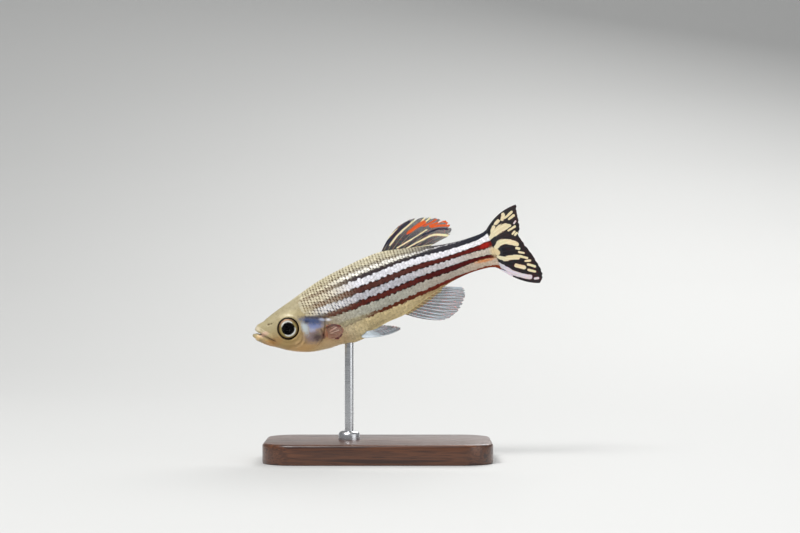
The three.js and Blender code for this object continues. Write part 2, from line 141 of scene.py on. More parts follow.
def inside(points: Array, outline: Array) -> Array:
    """Which flat points lie inside a closed outline.

    Args:
        points: n places, two numbers each.
        outline: its corners, in order.

    Returns:
        True for each point inside.
    """
    result = np.zeros(len(points), bool)
    x, z = points[:, 0], points[:, 1]
    previous = outline[-1]
    for corner in outline:
        crosses = (corner[1] > z) != (previous[1] > z)
        with np.errstate(divide="ignore", invalid="ignore"):
            edge = (previous[0] - corner[0]) * (z - corner[1]) / (previous[1] - corner[1]) + corner[0]
        result ^= crosses & (x < edge)
        previous = corner
    return result


def catmull(points: Array, t: Array) -> Array:
    """A centripetal curve through points.

    Args:
        points: the points it passes, in order.
        t: places along it, from 0 to 1, evenly shared among the stretches.

    Returns:
        The curve's points at t.
    """
    count = len(points)
    padded = np.vstack([2 * points[0] - points[1], points, 2 * points[-1] - points[-2]])
    place = np.clip(t, 0.0, 1.0) * (count - 1)
    i = np.minimum(place.astype(int), count - 2)
    w = (place - i)[:, None]
    p0, p1, p2, p3 = (padded[i + k] for k in range(4))
    legs = ((p0, p1), (p1, p2), (p2, p3))
    d0, d1, d2 = (np.sqrt(np.linalg.norm(b - a, axis=1))[:, None] for a, b in legs)
    t1 = ((p1 - p0) / d0 - (p2 - p0) / (d0 + d1) + (p2 - p1) / d1) * d1
    t2 = ((p2 - p1) / d1 - (p3 - p1) / (d1 + d2) + (p3 - p2) / d2) * d1
    c2 = -3 * p1 + 3 * p2 - 2 * t1 - t2
    c3 = 2 * p1 - 2 * p2 + t1 + t2
    return p1 + w * (t1 + w * (c2 + w * c3))


def curve(corners: tuple, count: int, start: float = 0.0) -> Array:
    """A curve through corners, read at even places from start to its end."""
    return catmull(np.array(corners), np.linspace(start, 1.0, count))


@dataclass(frozen=True)
class Hang:
    """How the fish hangs over its stand.

    The mouth's place is in millimetres from the middle of the base's underside.
    """

    mouth_x: float = -19.7
    mouth_z: float = 20.1
    nose_down: float = 21.0

    @property
    def matrix(self) -> Matrix:
        """What turns the fish's millimetres into metres in place."""
        place = Matrix.Translation((self.mouth_x * MM, 0.0, self.mouth_z * MM))
        return place @ Matrix.Rotation(-math.radians(self.nose_down), 4, "Y") @ Matrix.Scale(MM, 4)


HANG = Hang()


def select_only(*objects: Piece) -> None:
    """Selects these objects alone and makes the first one active.

    Args:
        objects: what to select, at least one.
    """
    bpy.ops.object.select_all(action="DESELECT")
    for each in objects:
        each.select_set(True)
    bpy.context.view_layer.objects.active = objects[0]


def pick_edges(piece: Piece, wanted: Callable[[Vector, Vector], bool]) -> None:
    """Opens a piece in edit mode with only some of its edges selected.

    Args:
        piece: what to change.
        wanted: says of an edge's two ends whether it is selected.
    """
    select_only(piece)
    bpy.ops.object.mode_set(mode="EDIT")
    bpy.ops.mesh.select_all(action="DESELECT")
    bpy.ops.mesh.select_mode(type="EDGE")
    bpy.ops.object.mode_set(mode="OBJECT")
    for edge in piece.data.edges:
        a, b = (piece.data.vertices[v].co for v in edge.vertices)
        edge.select = wanted(a, b)
    bpy.ops.object.mode_set(mode="EDIT")


def at_height(level: float) -> Callable[[Vector, Vector], bool]:
    """A test for edges that lie level at this height, as pick_edges wants it."""
    return lambda a, b: abs(a.z - level) < NEAR and abs(b.z - level) < NEAR


def bevel_picked(amount: float, segments: int) -> None:
    """Rounds the selected edges and leaves edit mode."""
    bpy.ops.mesh.bevel(offset=amount, segments=segments, affect="EDGES")
    bpy.ops.object.mode_set(mode="OBJECT")


def mesh_piece(name: str, points: Array | list, faces: list[tuple[int, ...]]) -> Piece:
    """A mesh object from points and faces.

    Args:
        name: the piece's name.
        points: its points, in the frame it is modelled in.
        faces: lists of point numbers, in order round each face.

    Returns:
        The object, linked to the scene.
    """
    mesh = bpy.data.meshes.new(name)
    mesh.from_pydata(np.asarray(points).tolist(), [], faces)
    mesh.update()
    piece = bpy.data.objects.new(name, mesh)
    bpy.context.scene.collection.objects.link(piece)
    return piece


def plate_faces(columns: int, rows: int) -> list[tuple[int, ...]]:
    """Faces of a thin closed plate: a grid of points on top, the same beneath, and a rim between.

    Args:
        columns: points along the grid.
        rows: points across it.

    Returns:
        The faces, with the top's points numbered first.
    """
    below = columns * rows
    faces = []
    for i in range(columns - 1):
        for j in range(rows - 1):
            a, b, c, d = i * rows + j, (i + 1) * rows + j, (i + 1) * rows + j + 1, i * rows + j + 1
            faces += [(a, b, c, d), (a + below, d + below, c + below, b + below)]
    rim = [i * rows for i in range(columns)] + [(columns - 1) * rows + j for j in range(1, rows)]
    rim += [i * rows + rows - 1 for i in range(columns - 2, -1, -1)] + list(range(rows - 2, 0, -1))
    return faces + [(b, a, a + below, b + below) for a, b in zip(rim, rim[1:] + rim[:1])]


def tube_faces(rings: int, sides: int) -> list[tuple[int, ...]]:
    """Faces of a closed tube: its rings of points, then one point for each end.

    Args:
        rings: number of rings.
        sides: points in each.

    Returns:
        The faces, the two ends' fans last.
    """
    faces = [
        (i * sides + k, i * sides + (k + 1) % sides, (i + 1) * sides + (k + 1) % sides, (i + 1) * sides + k)
        for i in range(rings - 1)
        for k in range(sides)
    ]
    last, end = (rings - 1) * sides, rings * sides
    faces += [((k + 1) % sides, k, end) for k in range(sides)]
    return faces + [(last + k, last + (k + 1) % sides, end + 1) for k in range(sides)]


def tube_mesh(route: Array, radius: Array, sides: int) -> tuple[Array, list[tuple[int, ...]]]:
    """Points and faces of a closed tube along a route.

    Args:
        route: points of its middle line.
        radius: its radius at each of those points.
        sides: number of sides.

    Returns:
        The points, ring by ring with the two ends' middles last, and the faces.
    """
    ahead = np.gradient(route, axis=0)
    ahead /= np.linalg.norm(ahead, axis=1)[:, None] + TINY
    normal = np.cross(ahead[0], [0.0, 1.0, 0.0])
    if np.linalg.norm(normal) < 0.2:
        normal = np.cross(ahead[0], [0.0, 0.0, 1.0])
    turns = np.linspace(0.0, TAU, sides, endpoint=False)
    rings = []
    for place, way, size in zip(route, ahead, radius):
        normal = normal - way * (normal @ way)
        normal /= np.linalg.norm(normal)
        other = np.cross(way, normal)
        rings.append(place + size * (np.cos(turns)[:, None] * normal + np.sin(turns)[:, None] * other))
    return np.vstack([*rings, route[:1], route[-1:]]), tube_faces(len(route), sides)


def closed_piece(name: str, points: Array, faces: list[tuple[int, ...]]) -> Piece:
    """A closed mesh object with its faces outwards.

    Args:
        name: the piece's name.
        points: its points.
        faces: lists of point numbers.

    Returns:
        The object.
    """
    piece = mesh_piece(name, points, faces)
    turn_faces_out(piece)
    return piece


def tube(name: str, route: Array, radius: Array, sides: int = 16) -> Piece:
    """A closed tube along a route, its radius given at each of the route's points."""
    return closed_piece(name, *tube_mesh(route, radius, sides))


def modify(piece: Piece, kind: str, **settings: object) -> None:
    """Adds a modifier and applies it.

    Args:
        piece: what to change.
        kind: Blender's name for the modifier.
        settings: the modifier's own settings.
    """
    select_only(piece)
    modifier = piece.modifiers.new(kind.title(), kind)
    for key, value in settings.items():
        setattr(modifier, key, value)
    bpy.ops.object.modifier_apply(modifier=modifier.name)


def turn_faces_out(piece: Piece) -> None:
    """Makes every face of a closed mesh point outwards.

    Args:
        piece: what to change.
    """
    select_only(piece)
    bpy.ops.object.mode_set(mode="EDIT")
    bpy.ops.mesh.select_all(action="SELECT")
    bpy.ops.mesh.normals_make_consistent(inside=False)
    bpy.ops.object.mode_set(mode="OBJECT")


def read_vectors(items: bpy.types.bpy_prop_collection, key: str) -> Array:
    """Reads one vector from each item of a mesh's list.

    Args:
        items: the list, such as a mesh's vertices.
        key: the vector's name.

    Returns:
        An array of three columns.
    """
    flat = np.empty(len(items) * 3, np.float32)
    items.foreach_get(key, flat)
    return flat.reshape(-1, 3).astype(float)


def coordinates(piece: Piece) -> Array:
    """The piece's points as an array."""
    return read_vectors(piece.data.vertices, "co")


def normals(piece: Piece) -> Array:
    """The outward direction at each of the piece's points."""
    return read_vectors(piece.data.vertex_normals, "vector")


def move_points(piece: Piece, points: Array) -> None:
    """Puts the piece's points where the array says."""
    piece.data.vertices.foreach_set("co", points.astype(np.float32).ravel())
    piece.data.update()


def record_values(piece: Piece, name: str, values: Array) -> None:
    """Stores one number or one vector for each point, for the materials to read.

    Args:
        piece: what to change.
        name: what the materials call it.
        values: a number or a row of three for each point.
    """
    kind, key = ("FLOAT", "value") if values.ndim == 1 else ("FLOAT_VECTOR", "vector")
    layer = piece.data.attributes.new(name, kind, "POINT")
    layer.data.foreach_set(key, values.astype(np.float32).ravel())


def settle(piece: Piece, finish: "Finish", slot: str, *nodes: str, smooth_angle: float = 180.0) -> None:
    """Finishes a piece: its material, its body, and what it stands for.

    Args:
        piece: the piece, already in place.
        finish: what its surface looks like.
        slot: not used.
        nodes: the solids that it replaces, if any.
        smooth_angle: edges sharper than this many degrees stay crisp.
    """
    piece.data.materials.clear()
    piece.data.materials.append(finish.material())
    select_only(piece)
    bpy.ops.object.shade_smooth_by_angle(angle=math.radians(smooth_angle))
    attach(piece, ROOT)
    if nodes:
        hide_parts(*nodes)
    log.info("%s: %d faces", piece.name, len(piece.data.polygons))


def hang(piece: Piece, finish: "Finish", slot: str, *nodes: str) -> None:
    """Turns a piece from the fish's own frame into its place, and settles it there."""
    piece.data.transform(HANG.matrix)
    settle(piece, finish, slot, *nodes)


@dataclass(frozen=True)
class Station:
    """One named cross-section of the body, in millimetres."""

    name: str
    x: float
    back: float
    belly: float
    half_width: float


@dataclass
class Body:
    """The body's form: where its back, belly and flanks run.

    The grid holds half of each cross-section, from the ridge of the back (0) to the belly's line (1),
    at even shares of the way round.
    """

    stations: tuple[Station, ...] = (
        Station("jaw tip", -0.25, -0.4, -0.6, 0.1),
        Station("jaw rim", 0.0, -0.1, -1.25, 0.62),
        Station("lip", 0.42, 0.28, -1.72, 0.98),
        Station("snout", 0.78, 0.8, -2.1, 1.16),
        Station("lip crease", 1.5, 1.14, -2.73, 1.42),
        Station("nostril", 2.5, 1.4, -3.4, 1.74),
        Station("eye front", 4.0, 1.86, -4.48, 2.1),
        Station("eye", 5.6, 2.3, -5.36, 2.36),
        Station("cheek", 7.6, 2.82, -6.12, 2.62),
        Station("gill cover", 10.4, 3.55, -6.58, 2.95),
        Station("breast", 12.3, 3.98, -6.66, 3.12),
        Station("belly", 14.4, 4.32, -7.1, 3.26),
        Station("pelvis", 16.4, 4.54, -7.0, 3.28),
        Station("behind pelvis", 18.4, 4.72, -6.38, 3.18),
        Station("vent", 20.4, 4.86, -5.98, 2.98),
        Station("dorsal front", 23.3, 4.82, -5.84, 2.66),
        Station("mid fins", 26.4, 4.16, -5.04, 2.22),
        Station("fins rear", 29.5, 3.3, -4.24, 1.78),
        Station("stalk front", 32.6, 2.46, -3.6, 1.4),
        Station("stalk", 35.6, 1.97, -3.4, 1.1),
        Station("stalk rear", 38.2, 1.82, -3.62, 0.86),
        Station("tail corners", 39.45, 1.86, -3.98, 0.66),
        Station("tail base", 40.3, 2.1, -4.75, 0.48),
    )
    widest: float = 0.55
    head_squareness: float = 2.25
    tail_squareness: float = 2.0
    columns: int = 420
    rows: int = 160
    knots: Array = field(init=False)
    front: float = field(init=False)
    rear: float = field(init=False)
    places: Array = field(init=False)
    grid: Array = field(init=False)
    girth: Array = field(init=False)

    def __post_init__(self) -> None:
        """Works out the grid of the right flank, column by column."""
        self.knots = np.array([s.x for s in self.stations])
        self.front, self.rear = self.knots[0], self.knots[-1]
        self.places = np.linspace(self.front, self.rear, self.columns)
        fine = np.linspace(0.0, math.pi, 600)
        self.grid = np.empty((self.columns, self.rows, 3))
        self.girth = np.empty(self.columns)
        for i, x in enumerate(self.places):
            ring = self.ring(x, fine)
            steps = np.linalg.norm(np.diff(ring, axis=0), axis=1)
            way = np.concatenate([[0.0], np.cumsum(steps)])
            self.girth[i] = way[-1]
            even = np.linspace(0.0, way[-1], self.rows)
            self.grid[i, :, 0] = x
            self.grid[i, :, 1] = np.interp(even, way, ring[:, 0])
            self.grid[i, :, 2] = np.interp(even, way, ring[:, 1])

    def profile(self, which: str, x: Array) -> Array:
        """The back, belly or half_width at x."""
        return smooth(self.knots, np.array([getattr(s, which) for s in self.stations]), np.asarray(x, float))

    def ring(self, x: float, turn: Array) -> Array:
        """The cross-section at one place.

        Args:
            x: distance from the mouth.
            turn: angles round it, counted from the back.

        Returns:
            A point (y, z) for each angle.
        """
        at = np.array([x])
        back, belly, half = (self.profile(w, at)[0] for w in ("back", "belly", "half_width"))
        middle = belly + self.widest * (back - belly)
        power = 2.0 / self.squareness(x)
        up = np.sign(np.cos(turn)) * np.abs(np.cos(turn)) ** power
        out = np.sign(np.sin(turn)) * np.abs(np.sin(turn)) ** power
        z = middle + np.where(up > 0, up * (back - middle), up * (middle - belly))
        return np.stack([half * out, z], axis=1)

    def squareness(self, x: Array | float) -> Array | float:
        """How square the cross-section is at x: 2 for an ellipse, more for a fuller one."""
        return self.head_squareness + self.share(x) * (self.tail_squareness - self.head_squareness)

    def share(self, x: Array | float) -> Array | float:
        """How far x lies along the body, from 0 at the mouth to 1 at the tail's base."""
        return (x - self.front) / (self.rear - self.front)

    def half_width_at(self, x: Array, z: Array) -> Array:
        """How far the flank stands out.

        Args:
            x: distances from the mouth.
            z: heights in the side view.

        Returns:
            The half width at each of those places.
        """
        back, belly = self.profile("back", x), self.profile("belly", x)
        middle = belly + self.widest * (back - belly)
        share = np.where(z > middle, (z - middle) / (back - middle), (middle - z) / (middle - belly))
        power = self.squareness(x)
        return self.profile("half_width", x) * np.clip(1 - np.abs(share) ** power, 0, None) ** (1 / power)

    def surface(self, x: Array, round_: Array) -> tuple[Array, Array]:
        """Points and outward directions on the right flank.

        Args:
            x: distances from the mouth.
            round_: shares of the way from the back's ridge to the belly's line.

        Returns:
            The points and the unit directions, each with a last axis of three.
        """
        i = np.clip(self.share(x), 0, BELOW_ONE) * (self.columns - 1)
        j = np.clip(round_, 0, BELOW_ONE) * (self.rows - 1)
        i0, j0 = i.astype(int), j.astype(int)
        a, b = (i - i0)[..., None], (j - j0)[..., None]
        p00, p10 = self.grid[i0, j0], self.grid[i0 + 1, j0]
        p01, p11 = self.grid[i0, j0 + 1], self.grid[i0 + 1, j0 + 1]
        point = (1 - a) * ((1 - b) * p00 + b * p01) + a * ((1 - b) * p10 + b * p11)
        along = (1 - b) * (p10 - p00) + b * (p11 - p01)
        across = (1 - a) * (p01 - p00) + a * (p11 - p10)
        out = np.cross(along, across)
        out /= np.linalg.norm(out, axis=-1, keepdims=True) + TINY
        return point, out

    def half_girth(self, x: Array) -> Array:
        """The way from the back's ridge to the belly's line at x."""
        return np.interp(x, self.places, self.girth)


@dataclass
class Markings:
    """Where each stripe runs: it gives every point a lane from 0 at the back to 1 at the belly.

    A row of edges is a place along the body, then the heights there of the upper edges of the grey line,
    the upper white, the upper red, the lower white, the lower red, the cream, the brown and the belly.
    """

    body: Body
    edges: tuple[tuple[float, ...], ...] = (
        (8.0, 2.3, 1.85, 1.0, 0.1, -1.0, -1.95, -3.6, -4.3),
        (12.0, 2.45, 1.9, 0.9, 0.0, -1.1, -2.05, -3.6, -4.2),
        (14.0, 2.55, 1.95, 0.88, -0.05, -1.15, -2.1, -3.6, -4.15),
        (17.0, 2.7, 2.0, 0.97, -0.12, -1.2, -2.2, -3.6, -4.15),
        (20.5, 2.68, 1.98, 0.9, -0.15, -1.22, -2.17, -3.6, -4.12),
        (25.0, 2.68, 2.08, 1.0, 0.0, -1.1, -2.1, -3.4, -4.02),
        (28.0, 2.52, 1.92, 0.95, 0.0, -1.05, -2.02, -3.33, -3.9),
        (30.0, 2.42, 1.72, 0.75, -0.1, -1.07, -2.05, -3.2, -3.8),
        (33.0, 2.15, 1.32, 0.42, -0.3, -1.2, -2.1, -3.1, -3.52),
        (36.0, 1.8, 1.12, 0.32, -0.45, -1.32, -2.06, -3.2, -3.45),
        (38.0, 1.72, 1.07, 0.28, -0.62, -1.55, -2.15, -3.3, -3.65),
        (39.5, 1.8, 1.3, 0.3, -0.75, -1.8, -2.4, -3.6, -4.15),
        (40.6, 1.95, 1.5, 0.35, -0.8, -2.05, -2.65, -4.0, -4.65),
    )

    def lane(self, x: Array, z: Array) -> Array:
        """The lane of points in the side view: each ninth is one stripe.

        Args:
            x: distances from the mouth.
            z: heights.

        Returns:
            The lanes, from 0 at the back's ridge to 1 at the belly's line.
        """
        knots, *heights = np.array(self.edges).T
        lines = [smooth(knots, height, x) for height in heights]
        top = np.maximum(self.body.profile("back", x), lines[0] + 0.05)
        bottom = np.minimum(self.body.profile("belly", x), lines[-1] - 0.05)
        borders = [top, *lines, bottom]
        lane = np.zeros_like(x)
        for upper, lower in zip(borders, borders[1:]):
            lane += np.clip((upper - z) / (upper - lower), 0.0, 1.0)
        return lane / (len(borders) - 1)

    def record(self, piece: Piece, points: Array, roots: Array) -> None:
        """Stores the points' places in the fish's frame, and the lanes of the roots, on a piece."""
        record_values(piece, "fish", points)
        record_values(piece, "lane", self.lane(roots[:, 0], roots[:, 2]))


def tint(code: str) -> tuple[float, float, float, float]:
    """A linear colour with an alpha of 1, from its screen code, such as #c9bb92."""
    channels = (int(code[i : i + 2], 16) / 255.0 for i in (1, 3, 5))
    return (*(c / 12.92 if c <= 0.04045 else ((c + 0.055) / 1.055) ** 2.4 for c in channels), 1.0)


class Net:
    """The net of nodes of one material or group, with short names for what the finishes need."""

    def __init__(self, tree: Tree) -> None:
        """Works on this node tree, which has no shader yet."""
        self.tree = tree
        self.shader: Node | None = None

    def node(self, kind: str, values: dict | None = None, **settings: object) -> Node:
        """Adds a node.

        Args:
            kind: Blender's name for it.
            values: the Value of each input that is fed, by name or number.
            settings: the node's own settings.

        Returns:
            The node.
        """
        made = self.tree.nodes.new(kind)
        for key, setting in settings.items():
            setattr(made, key, setting)
        self.feed(made, values or {})
        return made

    def feed(self, node: Node, values: dict) -> None:
        """Links or sets a node's inputs.

        Args:
            node: the node.
            values: the Value of each input that is fed, by name or number.
        """
        for key, value in values.items():
            if isinstance(value, Socket):
                self.tree.links.new(value, node.inputs[key])
            else:
                node.inputs[key].default_value = tint(value) if isinstance(value, str) else value

    def coat(self, values: dict) -> None:
        """Feeds the material's shader."""
        self.feed(self.shader, values)

    def math(self, operation: str, *values: Value, clamp: bool = False) -> Socket:
        """One step of arithmetic."""
        made = self.node("ShaderNodeMath", dict(enumerate(values)), operation=operation, use_clamp=clamp)
        return made.outputs[0]

    def vector(self, operation: str, *values: Value) -> Node:
        """One step of arithmetic on vectors."""
        return self.node("ShaderNodeVectorMath", dict(enumerate(values)), operation=operation)

    def plus(self, a: Value, b: Value) -> Socket:
        """The sum of two numbers."""
        return self.math("ADD", a, b)

    def minus(self, a: Value, b: Value) -> Socket:
        """One number less another."""
        return self.math("SUBTRACT", a, b)

    def times(self, a: Value, b: Value) -> Socket:
        """Two numbers multiplied."""
        return self.math("MULTIPLY", a, b)

    def scaled(self, a: Value, by: float, shift: float) -> Socket:
        """A number multiplied and then shifted."""
        return self.math("MULTIPLY_ADD", a, by, shift)

    def span(
        self, value: Value, low: Value, high: Value, to_low: float = 0.0, to_high: float = 1.0
    ) -> Socket:
        """A value eased from the range of low to high into that of to_low to to_high."""
        values = dict(enumerate((value, low, high, to_low, to_high)))
        return self.node("ShaderNodeMapRange", values, interpolation_type="SMOOTHSTEP").outputs[0]

    def mix(self, factor: Value, a: Value, b: Value, mode: str = "MIX") -> Socket:
        """Two colours mixed: the first at a factor of 0, the second at 1."""
        made = self.node("ShaderNodeMix", {0: factor, 6: a, 7: b}, data_type="RGBA", blend_type=mode)
        return made.outputs[2]

    def ramp(self, value: Value, stops: list[tuple[float, str]]) -> Socket:
        """A colour read off a ramp.

        Args:
            value: where on the ramp, from 0 to 1.
            stops: places and colours, in order.

        Returns:
            The colour.
        """
        made = self.node("ShaderNodeValToRGB", {0: value})
        band = made.color_ramp
        for index, (place, code) in ((0, stops[0]), (1, stops[-1])):
            band.elements[index].position, band.elements[index].color = place, tint(code)
        for place, code in stops[1:-1]:
            band.elements.new(place).color = tint(code)
        return made.outputs[0]

    def attribute(self, name: str, output: str = "Fac") -> Socket:
        """A number stored on the piece's points, or a vector where the output is Vector."""
        return self.node("ShaderNodeAttribute", attribute_name=name).outputs[output]

    def noise(self, place: Value, scale: float, detail: float = 2.0, roughness: float = 0.5) -> Socket:
        """Cloudy noise between 0 and 1."""
        values = {"Vector": place, "Scale": scale, "Detail": detail, "Roughness": roughness}
        return self.node("ShaderNodeTexNoise", values).outputs[0]

    def cells(self, place: Value, scale: float) -> Socket:
        """Distance to the nearest of many scattered points."""
        return self.node("ShaderNodeTexVoronoi", {"Vector": place, "Scale": scale}).outputs["Distance"]

    def stretch(self, place: Value, scale: tuple[float, float, float]) -> Socket:
        """A place scaled, as a pattern needs it."""
        return self.node("ShaderNodeMapping", {"Vector": place, "Scale": scale}).outputs[0]

    def parts(self, vector: Value) -> tuple[Socket, ...]:
        """The three numbers of a vector."""
        return tuple(self.node("ShaderNodeSeparateXYZ", {0: vector}).outputs)

    def bump(self, height: Value, distance: float, strength: float = 1.0) -> Socket:
        """A surface direction disturbed by a height."""
        values = {"Height": height, "Distance": distance, "Strength": strength}
        return self.node("ShaderNodeBump", values).outputs[0]

    def use(self, group: Tree, **values: Value) -> Node:
        """Places a shared effect with these inputs."""
        return self.node("ShaderNodeGroup", values, node_tree=group)


Fill = Callable[[Net, dict[str, Socket]], dict[str, Socket]]


def effect(name: str, inputs: dict[str, Value], outputs: dict[str, str], fill: Fill) -> Tree:
    """Builds a shared effect once.

    Args:
        name: the node group's name.
        inputs: each input's name and usual value, whose kind sets the socket's.
        outputs: each output's name and socket kind, Float, Color or Vector.
        fill: makes the nodes from a net and the inputs, and returns a socket for each output.

    Returns:
        The node group.
    """
    if name in bpy.data.node_groups:
        return bpy.data.node_groups[name]
    tree = bpy.data.node_groups.new(name, "ShaderNodeTree")
    kinds = {float: "Float", tuple: "Vector", str: "Color"}
    for key, value in inputs.items():
        made = tree.interface.new_socket(key, in_out="INPUT", socket_type=f"NodeSocket{kinds[type(value)]}")
        made.default_value = tint(value) if isinstance(value, str) else value
    for key, kind in outputs.items():
        tree.interface.new_socket(key, in_out="OUTPUT", socket_type=f"NodeSocket{kind}")
    net = Net(tree)
    entry = net.node("NodeGroupInput")
    net.node("NodeGroupOutput", fill(net, {key: entry.outputs[key] for key in inputs}))
    return tree


def patch_effect() -> Tree:
    """A soft-edged oval patch on the flank, 1 in its middle.

    Returns:
        The node group.
    """

    def fill(net: Net, given: dict[str, Socket]) -> dict[str, Socket]:
        """Measures how far a place lies from the patch's middle, in radii.

        Args:
            net: where the nodes go.
            given: the group's inputs.

        Returns:
            The group's outputs.
        """
        x, _, z = net.parts(net.vector("SUBTRACT", given["Place"], given["Centre"]).outputs[0])
        level = net.minus(z, net.times(x, given["Slope"]))
        flat = net.node("ShaderNodeCombineXYZ", {"X": x, "Z": level}).outputs[0]
        share = net.vector("DIVIDE", flat, given["Radii"]).outputs[0]
        wobble = net.scaled(net.noise(given["Place"], 2.7, 5.0, 0.75), 1.5, -0.75)
        reach = net.plus(net.vector("LENGTH", share).outputs["Value"], wobble)
        return {"Mask": net.span(reach, 1.35, 0.25)}

    inputs = {"Place": (0.0, 0.0, 0.0), "Centre": (0.0, 0.0, 0.0), "Radii": (1.0, 1.0, 1.0), "Slope": 0.0}
    return effect("Soft patch", inputs, {"Mask": "Float"}, fill)


@dataclass(frozen=True)
class Patch:
    """A coloured patch of the flank: its middle, its radii in the side view, and how much its line climbs."""

    name: str
    colour: str
    x: float
    z: float
    wide: float
    high: float
    strength: float = 1.0
    slope: float = 0.0

    def lay(self, net: Net, place: Socket, colour: Socket) -> Socket:
        """Lays the patch over a colour.

        Args:
            net: where the nodes go.
            place: the place in the fish's frame.
            colour: what lies under the patch.

        Returns:
            The new colour.
        """
        centre, radii = (self.x, 0.0, self.z), (self.wide, 1.0, self.high)
        patch = net.use(patch_effect(), Place=place, Centre=centre, Radii=radii, Slope=self.slope)
        patch.label = self.name
        return net.mix(net.times(patch.outputs[0], self.strength), colour, self.colour)


@dataclass(frozen=True)
class StripeColours:
    """The nine bands' colours at one place along the body, from the back's ridge down."""

    ridge: str
    back: str
    dark_line: str
    pale_line: str
    grey: str
    upper_white: str
    upper_red: str
    lower_white: str
    lower_red: str
    cream: str
    brown: str
    belly: str
    keel: str
    stripe_edge: str = "#1c0e0e"

    def stops(self, soft: float = 0.004, inset: float = 0.02) -> list[tuple[float, str]]:
        """The ramp's stops: flat bands with narrow edges, dark stripes darkest along theirs.

        Args:
            soft: half the width of the step between two bands.
            inset: how far a dark stripe's darker edge reaches into it.

        Returns:
            Places and colours, in order.
        """
        ninth = 1.0 / 9.0
        stops = [(0.0, self.ridge), (0.02, self.back), (0.052, self.back), (0.062, self.dark_line)]
        stops += [(0.076, self.dark_line), (0.084, self.pale_line), (ninth - soft, self.pale_line)]
        bands = (self.grey, self.upper_white, self.upper_red, self.lower_white)
        bands += (self.lower_red, self.cream, self.brown)
        for k, colour in enumerate(bands, start=1):
            low, high = k * ninth + soft, (k + 1) * ninth - soft
            if colour in (self.upper_red, self.lower_red):
                stops += [(low, self.stripe_edge), (low + inset, colour)]
                stops += [(high - inset, colour), (high, self.stripe_edge)]
            else:
                stops += [(low, colour), (high, colour)]
        return [*stops, (8 * ninth + soft, self.belly), (0.975, self.belly), (1.0, self.keel)]


FRONT_STRIPES = StripeColours(
    "#d9cfa6", "#b5aa86", "#9d9070", "#cdc3a2", "#80684a", "#c9bda0", "#7d5c44", "#e4e4ea", "#6d4a3c",
    "#bab39e", "#bfb294", "#d4c4a4", "#e4ca9c", "#5c4433",
)
MIDDLE_STRIPES = StripeColours(
    "#ded4b0", "#b7ae90", "#6e6450", "#f0ede6", "#3a3134", "#eae9f0", "#56302a", "#bdbcc3", "#5a2219",
    "#b4b2a5", "#622c15", "#e0cc9c", "#f4e0a4",
)
REAR_STRIPES = StripeColours(
    "#55544e", "#3a3b42", "#2c2d35", "#c4c2c6", "#2b2a33", "#efedf4", "#5a201b", "#c9c4c6", "#500f0c",
    "#bcb1a4", "#742412", "#b39468", "#ead6a4",
)
STALK_STRIPES = StripeColours(
    "#3c3f4e", "#161a2a", "#161a2a", "#161a2a", "#141828", "#f2f0f4", "#661410", "#cbbfb2", "#540806",
    "#cdb9a6", "#8c3a1c", "#b06a3c", "#c9a27a",
)

